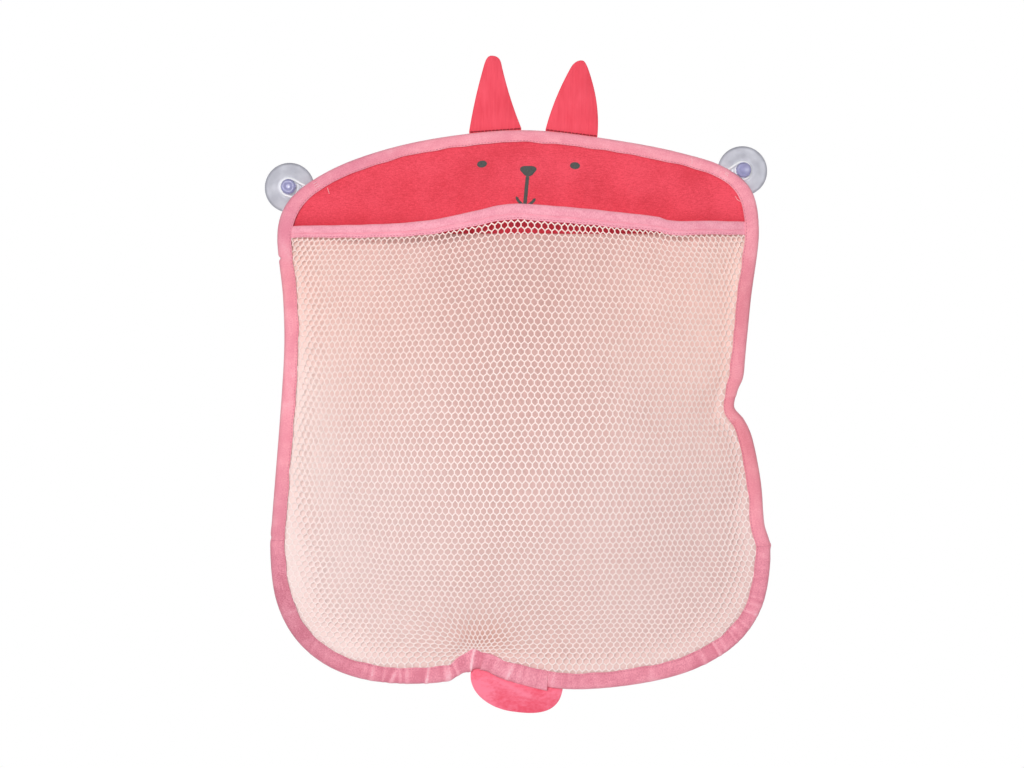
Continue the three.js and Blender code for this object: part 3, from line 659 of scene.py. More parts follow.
hemSpec = dict(
    leftZ=onBag(0, -34.5)[1], rightZ=onBag(0, -32.3)[1], sideFrom=-0.1, seamInset=12.6 * mm, tuck=6.5 * mm,
    bow=32 * mm, bowFullness=0.9, stations=260, endReach=0.016, endShare=0.42,  # flatter at its two ends
    wave=0.25 * mm, waves=(7, 13, 19), waveSeed=21, waveTop=0.4, waveDown=0.6,
    rises=((0, 0), (0.12, -0.6), (0.24, -0.1), (0.33, 3), (0.4, 8.2), (0.48, 13.6), (0.52, 13.4),
           (0.59, 11.4), (0.75, 5.5), (0.801, 3.4), (0.807, 3.1), (0.829, 0.4), (0.836, 0.2),
           (0.92, 0.2), (1, 0)),
    widths=((0, 9.3), (0.23, 10.7), (0.35, 11.5), (0.5, 12.6), (0.72, 12.3), (0.86, 11.2), (1, 10.6)),
    outside=((0.75, -1), (1.0, -0.965), (0.7, -0.9), (1.1, -0.835), (1.2, -0.73), (0.75, -0.665),
             (1.6, -0.61), (1.7, -0.36), (1.3, -0.09), (0.5, -0.01)),  # mm ahead, and share of the height
    inside=((-0.42, -0.99), (-0.6, -0.55), (-0.6, -0.2), (0, -0.1), (0.6, -0.2), (0.6, -0.55), (0.42, -0.99)))


def rimAtHeight(z, side):  # rim point on one side at a height, moved in to the end of the hem
    near = np.where((np.sign(rim[:, 0]) == side) & (rim[:, 1] > hemSpec["sideFrom"]))[0]
    return edgeLine(hemSpec["seamInset"])[rimIndex(near, rim[:, 1], z)]


hemLeft = rimAtHeight(hemSpec["leftZ"], -1)
hemRight = rimAtHeight(hemSpec["rightZ"], 1)


def hemShare(x):
    return (x - hemLeft[0]) / (hemRight[0] - hemLeft[0])


def hemHeight(x):
    rise = smoothThrough(hemSpec["rises"], np.clip(hemShare(x), 0, 1))
    return mixed(hemLeft[1], hemRight[1], hemShare(x)) + mm * rise


def hemBow(x):
    share = np.clip(hemShare(x), 0, 1)
    return hemSpec["bow"] * (4 * share * (1 - share)) ** hemSpec["bowFullness"]


def hemFrame():  # stations of the hem: place, forward direction in plan, and fullness
    x = np.linspace(hemLeft[0] - hemSpec["tuck"], hemRight[0] + hemSpec["tuck"], hemSpec["stations"])
    depth = netDepth + hemBow(x)
    forward = np.stack([-np.gradient(depth, x), -np.ones_like(x)], axis=1)
    forward /= np.linalg.norm(forward, axis=1)[:, None]
    fromEnd = smoothStep(0, hemSpec["endReach"], np.minimum(x - x[0], x[-1] - x))
    return x, depth, forward, mixed(hemSpec["endShare"], 1, fromEnd)


def hemSurface(profile):
    x, depth, forward, fullness = hemFrame()
    share = np.linspace(0, 1, len(x))
    tall = mm * smoothThrough(hemSpec["widths"], share)
    wave = hemSpec["wave"] * ripple(share, hemSpec["waves"], hemSpec["waveSeed"])
    rows = []
    for ahead, up in profile:
        out = ahead * mm * fullness
        z = hemHeight(x) + up * tall + wave * (hemSpec["waveTop"] - hemSpec["waveDown"] * up)
        rows.append(np.stack([x + forward[:, 0] * out, -depth + forward[:, 1] * out, z], axis=1))
    return np.array(rows)


def makeHem():
    front = hemSpec["outside"]  # its mirror image is the back
    back = tuple((-ahead, up) for ahead, up in front[::-1])
    piece = gridPiece("hem_band", hemSurface(front + back + hemSpec["inside"] + front[:1]))
    weld(piece, fill=True)
    smoothShade(piece)
    dress(piece, hemTapeCloth)
    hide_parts("hem_tape")
    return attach(piece, "bag")


hemBand = makeHem()
print("hem made")


# Edge binding: one tape folded round the edge, puckered where it turns the corners

bindingSpec = dict(  # places and sizes in mm on the bag, apart from those written with mm
    crown=9.8, side=11.4, low=13.0, pinch=2.8, wobble=0.35,  # the tape's widths
    wobbleWaves=(19, 33, 47, 71), wobbleSeed=5,
    crownSpan=(-26, -8), lowSpan=(-262, -345), shoulder=(-12, 22), pinchAt=(-179, 13), bottomZ=-360,
    crownFront=14.0 * mm, outerFold=0.45, cornerEase=11 * mm,
    foldEvery=8.5 * mm, foldSeeds=(31, 47), foldJitter=0.45, foldHeights=(0.15, 1.0), foldWidths=(1.0, 2.2),
    foldSlant=2.6, valley=(0.6, 1.7, 1.1), deepest=0.45 * mm,  # a valley's depth, place and width
    foldPlain=0.12, foldLow=0.2, foldShoulder=0.3, foldPinch=0.6, foldEdge=0.3,
    gathers=((-84, 0.95, 44), (165, 0.6, 24)),  # place across, size and reach, as for the peak and the foot
    peak=((-33.4, 3.2, 3.4),), foot=((-47, 1.9, 5.0), (-39.6, -2.2, 3.2)),
    tucks=((-34.8, 1.7, 0.9, 4.2), (-30.0, -0.7, 1.8, 2.0), (-6.0, 0.7, 1.6, 3.0),
           (4.5, -0.55, 1.4, 1.0)),  # place across, height, width and lean
    notches=((-1, -62.6, 1.5, 1.3), (-1, -286.5, 0.7, 1.8),
             (1, -292.5, -0.9, 2.2)),  # side, height, depth and length
    notchFade=0.6,
    dulls=((-160, -345, 48, (0.78, 0.76, 0.78)), (-183, -40, 26, (0.89, 0.84, 0.905)),
           (-182, -85, 20, (0.95, 0.88, 0.87)), (-188, -265, 30, (0.89, 0.865, 0.9)),
           (-132, 9, 45, (0.885, 0.81, 0.87)), (183, -97, 40, (0.87, 0.79, 0.79)),
           (180, -205, 50, (0.87, 0.76, 0.75))),  # place, reach and tone of painted shade
    lapFrom=-27.5, lapTo=23.6, lapLift=1.4 * mm, lapProud=(1.1, 3.0), lapSlant=2.6,
    lapUnder=(0.04 * mm, 0.04 * mm),  # the lap's inner face just clears the tape
    outside=((1, 0.78), (0.975, 0.9), (0.9, 0.8), (0.81, 0.97), (0.56, 1.07), (0.3, 1.03), (0.14, 0.86),
             (0.045, 0.5), (0, 0)),  # front half, as shares of the width and of half the thickness
    inside=((0.99, -0.54), (0.74, -0.7), (0.44, -0.74), (0.2, -0.66), (0.12, 0)))  # back half


def bothHalves(half):  # a profile and its mirror image, which share their last point
    return half + tuple((inset, -side) for inset, side in half[-2::-1])


tapeOutside = bothHalves(bindingSpec["outside"])
tapeInside = bothHalves(bindingSpec["inside"])
onCrown = smoothStep(*bindingSpec["crownSpan"], rimZ)
lowEdge = smoothStep(*bindingSpec["lowSpan"], rimZ)
atBottom = rimZ < bindingSpec["bottomZ"]
atShoulder = hump(rimZ - bindingSpec["shoulder"][0], bindingSpec["shoulder"][1])
atPinch = hump(rimZ - bindingSpec["pinchAt"][0], bindingSpec["pinchAt"][1]) * (rimX > 0)
bindingAhead = mixed(bindingFront, bindingSpec["crownFront"], onCrown)
bindingMiddle = (bindingAhead + bindingBack) / 2
bindingHalf = (bindingAhead - bindingBack) / 2
wobble = bindingSpec["wobble"] * ripple(shares, bindingSpec["wobbleWaves"], bindingSpec["wobbleSeed"])
tapeWide = mm * (bindingSpec["side"] + (bindingSpec["crown"] - bindingSpec["side"]) * onCrown
                 + (bindingSpec["low"] - bindingSpec["side"]) * lowEdge - bindingSpec["pinch"] * atPinch
                 + wobble)
foldSize = mm * (bindingSpec["foldPlain"] + bindingSpec["foldLow"] * lowEdge
                 + bindingSpec["foldShoulder"] * atShoulder + bindingSpec["foldPinch"] * atPinch)


def bumpsAcross(name):  # rises along the tape, by their places across the bag
    return mm * sum(size * hump(rimX - place, reach) for place, size, reach in bindingSpec[name])


foldSize = foldSize + bumpsAcross("gathers") * lowEdge  # eased round the lower corners
peakIn = bumpsAcross("peak") * atBottom
footIn = bumpsAcross("foot") * atBottom
notchIn = mm * sum(depth * hump(rimZ - z, length) * (np.sign(rimX) == side)
                   for side, z, depth, length in bindingSpec["notches"])


def tapeFolds(inset, side):  # single soft folds, unevenly spaced, each with its own height, width and slant
    draw = np.random.default_rng(bindingSpec["foldSeeds"][int(side < 0)])
    count = int(rimLength / bindingSpec["foldEvery"])
    jitter = bindingSpec["foldJitter"]
    middle = (np.arange(count) + draw.uniform(-jitter, jitter, count)) / count
    height = draw.uniform(*bindingSpec["foldHeights"], count)
    width = draw.uniform(*bindingSpec["foldWidths"], count) * mm / rimLength
    slant = draw.normal(0, bindingSpec["foldSlant"], count) * mm / rimLength
    t = ((shares[:, None] - middle - slant * (inset - 0.5) + 0.5) % 1 - 0.5) / width
    valleyDeep, valleyAt, valleyWide = bindingSpec["valley"]
    shape = hump(t, 1) - valleyDeep * hump(t - valleyAt, valleyWide)
    folds = (shape * height).sum(axis=1) * foldSize
    for x, tall, wide, lean in bindingSpec["tucks"]:  # the gathers at the pucker
        folds = folds + atBottom * tall * mm * hump(rimX - x - lean * (inset - 0.5), wide)
    return np.maximum(folds, -bindingSpec["deepest"])  # so the net stays under the tape


def eased(line, reach):  # a closed line with its turns rounded off
    fade = np.exp(-2 * (np.pi * reach / rimLength * rimCount * np.fft.fftfreq(rimCount)) ** 2)
    return np.fft.ifft(np.fft.fft(line, axis=0) * fade[:, None], axis=0).real


def bindingPoint(inset, side, grow=0.0, proud=0.0):  # all stations of one line of the tape, grown for the lap
    fold = tapeFolds(inset, side)
    lift = fold * mixed(bindingSpec["outerFold"], 1, inset) + grow
    depth = bindingMiddle + side * bindingHalf + np.sign(side) * lift
    edge = inset * tapeWide + notchIn * (1 - bindingSpec["notchFade"] * inset)
    edge = edge - (bindingSpec["foldEdge"] * fold + proud) * (1 - inset)
    edge = edge + peakIn * inset ** 2 + footIn * (1 - inset) ** 2
    line = edgeLine(edge[:, None])
    line = mixed(line, eased(line, bindingSpec["cornerEase"]), (inset ** 2 * atShoulder)[:, None])
    return np.stack([line[:, 0], -depth, line[:, 1]], axis=1)


def finishTape(piece, ring, at):  # its fold heights for the painted fold shade, and its painted shade tones, at stations along the tape
    creases = [np.interp(at, stations, tapeFolds(inset, side), period=rimCount) / mm for inset, side in ring]
    markFoldShade(piece, creases)
    tone = np.ones((rimCount, 3))
    for x, z, reach, shade in bindingSpec["dulls"]:  # painted shade in a few places
        tone = tone * mixed(1, np.array(shade), hump(np.hypot(rimX - x, rimZ - z), reach)[:, None])
    paintTone(piece, np.tile(readAt(at, stations, tone, period=rimCount), (len(ring), 1)))


def makeBinding():
    ring = tapeOutside + tapeInside + tapeOutside[:1]
    rows = np.array([bindingPoint(inset, side) for inset, side in ring])
    piece = gridPiece("binding_tape", np.concatenate([rows, rows[:, :1]], axis=1))
    finishTape(piece, ring, np.arange(rimCount + 1))
    weld(piece)
    smoothShade(piece)
    dress(piece, bindingTape)
    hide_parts("edge_binding")
    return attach(piece, "bag")


def makeLap():  # the end of the tape, lapped over its start at the bottom
    low = np.where(atBottom)[0]
    first, last = (rimIndex(low, rimX, bindingSpec[end]) for end in ("lapTo", "lapFrom"))
    count = last - first
    ring = tapeOutside + tapeOutside[::-1] + tapeOutside[:1]
    proud = mm * np.interp(rimX, (bindingSpec["lapFrom"], bindingSpec["lapTo"]), bindingSpec["lapProud"])
    rows = []
    for place, (inset, side) in enumerate(ring):
        isOuter = place < len(tapeOutside) or place == len(ring) - 1
        grow = (bindingSpec["lapLift"], proud) if isOuter else bindingSpec["lapUnder"]
        slant = bindingSpec["lapSlant"] * mm / rimLength * rimCount * (inset - 0.5)
        at = np.linspace(first + slant, last - slant, count)
        rows.append(readAt(at, stations, bindingPoint(inset, side, *grow)))
    piece = gridPiece("binding_lap", np.array(rows))
    finishTape(piece, ring, np.linspace(first, last, count))
    across = np.empty(2 * len(piece.data.loops), dtype=np.float32)
    piece.data.uv_layers.active.data.foreach_get("uv", across)
    across[::2] = (first + across[::2] * count) / rimCount  # the same weave as the tape under it
    piece.data.uv_layers.active.data.foreach_set("uv", across)
    weld(piece, 0.005 * mm, fill=True)
    smoothShade(piece, 40)
    dress(piece, bindingTape)
    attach(piece, "bag")


bindingTapePiece = makeBinding()
makeLap()
print("binding made")


# Front net: a bulging surface, then hexagonal meshes laid over it at their own length

netSpec = dict(
    middle=onBag(0, -228), bulge=70 * mm, halfWidth=0.186, halfHeight=0.182, roundness=2.4,
    sideSteep=1.15, floorSteep=1.7, mouthSteep=1.1, floorSpan=(onBag(0, -228)[1], onBag(0, -294)[1]),
    release=13.5 * mm, hemRelease=12.5 * mm, hemGap=12 * mm, hemSteps=160, seat=4.5 * mm,
    loose=3.0 * mm, looseLength=0.13, looseSeed=12, followFade=0.085, inHem=(13 * mm, 26 * mm),
    column=5.25 * mm, row=4.95 * mm, upright=2.5 * mm, firstRow=2.2 * mm, cloth=0.56,
    strand=1.0 * mm, thickness=0.8 * mm,
    slack=0.7 * mm, slackFrom=0.03, shake=0.1 * mm,
    waves=((0.07, 15, 0.011, 17), (0.08, 16, 0.012, 18)),  # across and down: slack and shake, length and seed
    gather=0.14, gatherFrom=0.04, gatherFade=0.07,
    pucker=onBag(-33, -378), puckerPull=0.52, puckerReach=0.036, ovalRounds=12,
    tableHalf=0.216, tableStep=mm, drop=0.42, dropStep=0.5 * mm, clothHalf=0.29, clothStep=1.5 * mm)
netMiddle = np.array(netSpec["middle"])


def pocketEdge():  # turn, reach, forward offset and steepness where the net leaves its seams
    edge = edgeLine(netSpec["release"])
    edge = edge[edge[:, 1] < np.where(edge[:, 0] < 0, hemLeft[1], hemRight[1]) - netSpec["hemGap"]]
    hemX = np.linspace(hemLeft[0], hemRight[0], netSpec["hemSteps"])
    hem = np.stack([hemX, hemHeight(hemX) - netSpec["hemRelease"]], axis=1)
    ahead = np.concatenate([np.zeros(len(edge)), hemBow(hemX)])
    low = smoothStep(*netSpec["floorSpan"], edge[:, 1])
    high = np.sqrt(hemBow(hemX) / hemSpec["bow"])
    steep = np.concatenate([mixed(netSpec["sideSteep"], netSpec["floorSteep"], low),
                            mixed(netSpec["sideSteep"], netSpec["mouthSteep"], high)])
    turn, reach = seenFrom(netMiddle, *np.vstack([edge, hem]).T)
    order = np.argsort(turn)
    return turn[order], np.stack([reach, ahead, steep], axis=1)[order]


edgeTurn, edgeValues = pocketEdge()


def pocketDepth(x, z):  # depth of the bulging net over a place on the front
    turn, distance = seenFrom(netMiddle, x, z)
    reach, ahead, steep = (np.interp(turn, edgeTurn, column, period=2 * np.pi) for column in edgeValues.T)
    share = np.clip(distance / reach, 0, 1)
    wide, tall = reach * np.sin(turn) / netSpec["halfWidth"], reach * np.cos(turn) / netSpec["halfHeight"]
    oval = 1 / np.hypot(wide, tall)
    size = share
    for _ in range(netSpec["ovalRounds"]):  # an oval in the middle that turns into the outline at the seams
        size = size - (size * (oval + (1 - oval) * size ** 2) - share) / (oval + 3 * (1 - oval) * size ** 2)
    size = np.clip(size, 0, 1)
    swell = netSpec["bulge"] * (1 - size ** netSpec["roundness"]) ** steep
    loose = netSpec["loose"] * drift(x, z, netSpec["looseLength"], netSpec["looseSeed"]) * (1 - size ** 2)
    return netDepth + swell + ahead * size ** 2 + loose


def netTables():  # where each place of the flat net, across and down from the hem, comes to lie
    x = np.arange(-netSpec["tableHalf"], netSpec["tableHalf"] + 0.1 * mm, netSpec["tableStep"])
    middleX = netMiddle[:1]
    z = hemHeight(middleX) - np.arange(0, netSpec["drop"], netSpec["dropStep"])
    depth = pocketDepth(np.full_like(z, middleX[0]), z)
    down = lengthAlong(np.stack([z, depth], axis=1))
    levels = np.arange(0, down[-1], netSpec["clothStep"])
    follow = np.exp(-levels / netSpec["followFade"])[:, None]  # rows follow the hem less and less
    lineZ = np.interp(levels, down, z)[:, None] + follow * (hemHeight(x) - hemHeight(middleX))
    lineX = np.broadcast_to(x, lineZ.shape)
    inHem = (1 - smoothStep(*netSpec["inHem"], levels))[:, None]
    lineDepth = mixed(pocketDepth(lineX, lineZ), netDepth + hemBow(x), inHem)
    lines = np.stack([lineX, -lineDepth, lineZ], axis=2)
    grid = np.arange(-netSpec["clothHalf"], netSpec["clothHalf"] + 0.1 * mm, netSpec["clothStep"])
    rows = []
    for line in lines:
        across = lengthAlong(line)
        rows.append(readAt(grid, across - across[np.argmin(np.abs(x - middleX))], line))
    return grid, levels, np.array(rows)


flatAcross, flatDown, flatTable = netTables()


def tablePlace(values, table):  # whole and part steps into an evenly spaced table
    steps = np.clip((values - table[0]) / (table[1] - table[0]), 0, len(table) - 1.001)
    whole = steps.astype(int)
    return whole, (steps - whole)[..., None]


def onNet(across, down):  # a place on the flat net, carried onto the bulge
    i, u = tablePlace(across, flatAcross)
    j, v = tablePlace(down, flatDown)
    upper = flatTable[j, i] * (1 - u) + flatTable[j, i + 1] * u
    lower = flatTable[j + 1, i] * (1 - u) + flatTable[j + 1, i + 1] * u
    return upper * (1 - v) + lower * v


def flatPlace(x, z):  # the place on the flat net that comes to lie over a place on the front
    away = np.hypot(flatTable[..., 0] - x, flatTable[..., 2] - z)
    row, column = np.unravel_index(np.argmin(away), away.shape)
    return flatAcross[column], flatDown[row]


def flatKnots(half, rise):  # even knots of the flat net, and which of them have their upright below
    columns, rows = int(netSpec["cloth"] / half), int(flatDown[-1] / netSpec["row"])
    r, k = np.meshgrid(np.arange(rows), np.arange(columns), indexing="ij")
    isLow = (r + k) % 2 == 0
    down = netSpec["firstRow"] + rise + r * netSpec["row"] + np.where(isLow, 1, -1) * rise / 2
    return (k - columns / 2) * half, down, isLow


def gathered(across, down):  # slack all over, gathers under the hem and a draw to the pucker
    fade = netSpec["slack"] * smoothStep(0, netSpec["slackFrom"], down)
    shiftA, shiftB = (fade * drift(across, down, slackLength, slackSeed)
                      + netSpec["shake"] * drift(across, down, shakeLength, shakeSeed)
                      for slackLength, slackSeed, shakeLength, shakeSeed in netSpec["waves"])
    across, down = across + shiftA, down + shiftB
    beyond = np.maximum(np.abs(across) - netSpec["gatherFrom"], 0) * np.sign(across)
    across = across - netSpec["gather"] * np.exp(-down / netSpec["gatherFade"]) * beyond
    puckerA, puckerB = flatPlace(*netSpec["pucker"])
    away = np.hypot(across - puckerA, down - puckerB)
    pull = netSpec["puckerPull"] * hump(away, netSpec["puckerReach"])
    return mixed(across, puckerA, pull), mixed(down, puckerB, pull)


def insideSeat(place):  # whether knots lie inside the line where the net is sewn in
    seatTurn, seatReach = seenFrom(netMiddle, *edgeLine(netSpec["seat"]).T)
    order = np.argsort(seatTurn)
    turn, reach = seenFrom(netMiddle, place[..., 0], place[..., 2])
    return reach < np.interp(turn, seatTurn[order], seatReach[order], period=2 * np.pi)


def cornerOffset(wayA, wayB):  # where the sides of two strands meet beside their knot
    a, b = (np.array(w) / np.linalg.norm(w) for w in (wayA, wayB))
    return netSpec["strand"] / 2 * (a + b) / abs(a[0] * b[1] - a[1] * b[0])


def netFaces(number, isLow):  # four-sided strands that share their corners at each knot
    faces = []
    rows, columns = number.shape

    def pointsAt(r, k):  # a knot's five points, or none where there is no knot
        isKnot = 0 <= r < rows and 0 <= k < columns and number[r, k] >= 0
        return range(5 * number[r, k], 5 * number[r, k] + 5) if isKnot else None

    for r, k in zip(*np.where(number >= 0)):
        low = isLow[r, k]
        front, back, between, right, left = pointsAt(r, k)
        rightKnot, leftKnot = pointsAt(r, k + 1), pointsAt(r, k - 1)
        uprightKnot = pointsAt(r + 1 if low else r - 1, k)
        if rightKnot:
            farFront, farBack, farBetween, _, farLeft = rightKnot
            upper, lower = (between, right) if low else (right, between)
            farUpper, farLower = (farLeft, farBetween) if low else (farBetween, farLeft)
            faces += [(front, farFront, farUpper, upper), (front, lower, farLower, farFront),
                      (back, upper, farUpper, farBack), (back, farBack, farLower, lower)]
        if uprightKnot and low:
            farFront, farBack, _, farRight, farLeft = uprightKnot
            faces += [(front, left, farLeft, farFront), (front, farFront, farRight, right),
                      (back, farBack, farLeft, left), (back, right, farRight, farBack)]
        ends = ((leftKnot, between, left), (uprightKnot, left, right), (rightKnot, right, between))
        for neighbour, one, other in ends:
            if not neighbour:  # a cut end is closed
                one, other = (one, other) if low else (other, one)
                faces += [(front, one, other), (back, other, one)]
    return faces


def makeNet():
    half, rise = netSpec["column"] / 2, netSpec["row"] - netSpec["upright"]
    across, down, isLow = flatKnots(half, rise)
    across, down = gathered(across, down)
    knot = onNet(across, down)
    wayAcross = onNet(across + mm, down) - onNet(across - mm, down)
    wayDown = onNet(across, down + mm) - onNet(across, down - mm)
    normal = np.cross(wayDown, wayAcross)
    normal /= np.linalg.norm(normal, axis=2)[..., None] + tiny
    normal *= np.where(normal[..., 1:2] > 0, -1, 1)
    left, right, upright = (-half, -rise), (half, -rise), (0, netSpec["upright"])
    offsets = [cornerOffset(left, right), cornerOffset(right, upright), cornerOffset(upright, left)]
    sign = np.where(isLow, 1, -1)
    corners = [onNet(across + o[0], down + sign * o[1]) for o in offsets]
    thick = normal * netSpec["thickness"] / 2
    points = np.stack([knot + thick, knot - thick, *corners], axis=2)
    kept = insideSeat(knot)
    number = np.full(kept.shape, -1)
    number[kept] = np.arange(kept.sum())
    faces = netFaces(number, isLow)
    piece = meshPiece("pocket_net", points[kept].reshape(-1, 3), faces)
    smoothShade(piece, 80)
    dress(piece, netYarn)
    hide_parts("front_net")
    print("net has", int(kept.sum()), "knots and", len(faces), "faces")
    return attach(piece, "bag")


pocketNet = makeNet()


# Stitching: short bars of thread, each sunk at its ends

stitchSpec = dict(
    pitch=2.6 * mm, gap=0.7 * mm, radius=0.24 * mm, bindingInset=0.9, bindingSide=0.8,
    hemAt=(0.7, -0.9), hemEnds=8, joins=((-1, -288.5), (1, -292.5)), joinFrom=0.14, joinBars=8,
    sides=5, rings=((0.0, 0.3, -0.9), (0.18, 1.0, 0.1),
                    (0.82, 1.0, 0.1), (1.0, 0.3, -0.9)))  # place, size and lift


def threadBar(start, end, normal, radius):  # points of one five-sided bar with tapered ends
    way = end - start
    side = np.cross(way, normal)
    side /= np.linalg.norm(side) + tiny
    points = []
    for share, size, lift in stitchSpec["rings"]:
        middle = start + way * share + normal * radius * lift
        for n in range(stitchSpec["sides"]):
            angle = 2 * math.pi * n / stitchSpec["sides"]
            points.append(middle + radius * size * (side * math.cos(angle) + normal * math.sin(angle)))
    return points


def barFaces(base):  # faces of one bar whose points start at a number
    count, rings = stitchSpec["sides"], len(stitchSpec["rings"])
    faces = []
    for ring in range(base, base + (rings - 1) * count, count):
        for n in range(count):
            a, b = ring + n, ring + (n + 1) % count
            faces.append((a, b, b + count, a + count))
    faces.append(tuple(base + n for n in reversed(range(count))))
    faces.append(tuple(base + (rings - 1) * count + n for n in range(count)))
    return faces


def addThread(name, runs, radius, material):  # bars along runs of starts, ends and normals
    points, faces = [], []
    for run in runs:
        for start, end, normal in zip(*run):
            faces += barFaces(len(points))
            points += threadBar(start, end, normal, radius)
    piece = meshPiece(name, points, faces)
    weld(piece, 0.001 * mm)
    smoothShade(piece)
    dress(piece, material)
    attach(piece, "bag")


def stitchLine(path, normals):  # starts, ends and normals of even stitches on a path
    length = lengthAlong(path)
    count = int(length[-1] / stitchSpec["pitch"])
    at = np.arange(count) * length[-1] / count
    ends = at + stitchSpec["pitch"] - stitchSpec["gap"]
    up = readAt(at + stitchSpec["pitch"] / 2, length, normals)
    return readAt(at, length, path), readAt(ends, length, path), up


def seamRun(path):  # a run of bars end to end, all facing the front
    return path[:-1], path[1:], np.tile([0.0, -1.0, 0.0], (len(path) - 1, 1))


def makeStitches():
    bindingRuns, hemRuns, joinRuns = [], [], []
    forward = hemFrame()[2]
    inner = slice(stitchSpec["hemEnds"], -stitchSpec["hemEnds"])
    for side in (1, -1):  # front and back
        path = bindingPoint(stitchSpec["bindingInset"], side * stitchSpec["bindingSide"])
        normals = np.tile([0.0, -side, 0.0], (rimCount + 1, 1))
        bindingRuns.append(stitchLine(np.vstack([path, path[:1]]), normals))
        ahead, up = stitchSpec["hemAt"]
        path = hemSurface(((ahead * side, up),))[0]
        normals = np.insert(side * forward, 2, 0, axis=1)
        hemRuns.append(stitchLine(path[inner], normals[inner]))
    for side, z in stitchSpec["joins"]:  # where two lengths of tape meet
        at = rimIndex(np.where(np.sign(rimX) == side)[0], rimZ, z)
        insets = np.linspace(stitchSpec["joinFrom"], 1, stitchSpec["joinBars"] + 1)
        joinRuns.append(seamRun(np.array([bindingPoint(inset, 1)[at] for inset in insets])))
    threads = (("binding_stitches", bindingRuns), ("hem_stitches", hemRuns), ("tape_joins", joinRuns))
    for name, runs in threads:
        addThread(name, runs, stitchSpec["radius"], pinkThread)


makeStitches()
print("stitches made")


# Ears and tail: two layers of coral cloth, turned and lightly padded

flapSpec = dict(rings=16, stations=200, seam=0.8, roll=8)  # sizes in mm, as for the ears and the tail
earSpec = dict(
    width=42, root=8, pad=1.5, padReach=14, crease=0.4, creaseReach=10, middle=(0.4, 0.34),
    fineFolds=(0.6, 0.22, 9.0), broadFold=26.0,  # height, stretch and length
    # the ear's shadow line: a dark cord that paints the shadow gap where the ear meets the binding
    seamUp=-0.5, seamAhead=0.2, seamRadius=0.55, seamReach=0.97, seamBars=14,
    left=dict(tip=6.9, height=59.6, lean=1.7, apex=0.6, bows=(0.9, -1.2), seed=61),
    right=dict(tip=7.5, height=58.4, lean=0.2, apex=1.7, bows=(1.7, 2.9), seed=67))
tailSpec = dict(
    width=75, reach=27, root=11, fullness=(2.05, 2.8), pad=2.0, padReach=(4, 16), middle=(0.0, -17.0),
    crease=1.5, creaseReach=(8, 16), wander=0.3, wanderLength=30.0, seed=71,
    foldZ=-19, foldSlope=-0.39, foldWidth=2.4, foldFrom=(-34, -24), foldTo=(18, 4))


def earEdge(shape):
    half, root = earSpec["width"] / 2, earSpec["root"]
    tip, height, lean = shape["tip"], shape["height"], shape["lean"]
    apex = (shape["apex"], height)
    shoulder = height - tip
    bowLeft, bowRight = shape["bows"]
    sideLeft = (lean - tip - half) / 2 - 2 * bowLeft
    sideRight = (lean + tip + half) / 2 + 2 * bowRight
    slopeLeft = (lean - tip - sideLeft) / (shoulder / 2)
    slopeRight = (lean + tip - sideRight) / (shoulder / 2)
    corners = [
        bezier((1 - half, -root), (-half, -root / 2), (-half, 0), 10),
        bezier((-half, 0), (sideLeft, shoulder / 2), (lean - tip, shoulder), 60),
        bezier((lean - tip, shoulder), (lean - tip + slopeLeft * tip, height), apex, 20),
        bezier(apex, (lean + tip + slopeRight * tip, height), (lean + tip, shoulder), 20),
        bezier((lean + tip, shoulder), (sideRight, shoulder / 2), (half, 0), 60),
        bezier((half, 0), (half, -root / 2), (half - 1, -root), 10),
        np.array([[half - 1, -root], [1 - half, -root]])]
    return evenOpen(np.vstack(corners), flapSpec["stations"] + 1)[:-1]


def tailEdge():
    half, reach, root = tailSpec["width"] / 2, tailSpec["reach"], tailSpec["root"]
    angle = np.linspace(0, np.pi, 160)
    n = np.where(np.cos(angle) < 0, *tailSpec["fullness"])  # fuller on its right
    x = half * np.sign(np.cos(angle)) * np.abs(np.cos(angle)) ** (2 / n)
    z = -root - reach * np.sin(angle) ** (2 / n)
    top = np.array([[1 - half, 0], [half - 1, 0], [half, -root]])
    return evenOpen(np.vstack([np.stack([x, z], axis=1), top]), flapSpec["stations"] + 1)[:-1]


def flapHalf(size, fullness):  # half the thickness, from the rolled edge to the middle
    return (flapSpec["seam"] + fullness * (1 - size ** 2)) * (1 - size ** flapSpec["roll"]) ** 0.5


def flapWays(jointName):  # a flap's seam, and its ways across, back and up
    joint = jointAt[jointName]
    across = np.array(joint["axis"])
    return np.array(joint["pos_m"]), np.array([across, [0, 1, 0], [-across[2], 0, across[0]]])


def flapFaces(rings, count):  # front and back rings from the edge inwards, which share the edge
    front = np.arange(rings * count).reshape(rings, count)
    back = np.vstack([front[:1], front[1:] + (rings - 1) * count])
    centre = (2 * rings - 1) * count
    faces = []
    for at, middle, isFront in ((front, centre, True), (back, centre + 1, False)):
        after = np.roll(at, -1, axis=1)
        quads = np.stack([at[:-1], after[:-1], after[1:], at[1:]], axis=2).reshape(-1, 4).tolist()
        fan = [[a, b, middle] for a, b in zip(at[-1].tolist(), after[-1].tolist())]
        faces += [face if isFront else face[:1] + face[:0:-1] for face in quads + fan]  # the back faces away
    return faces


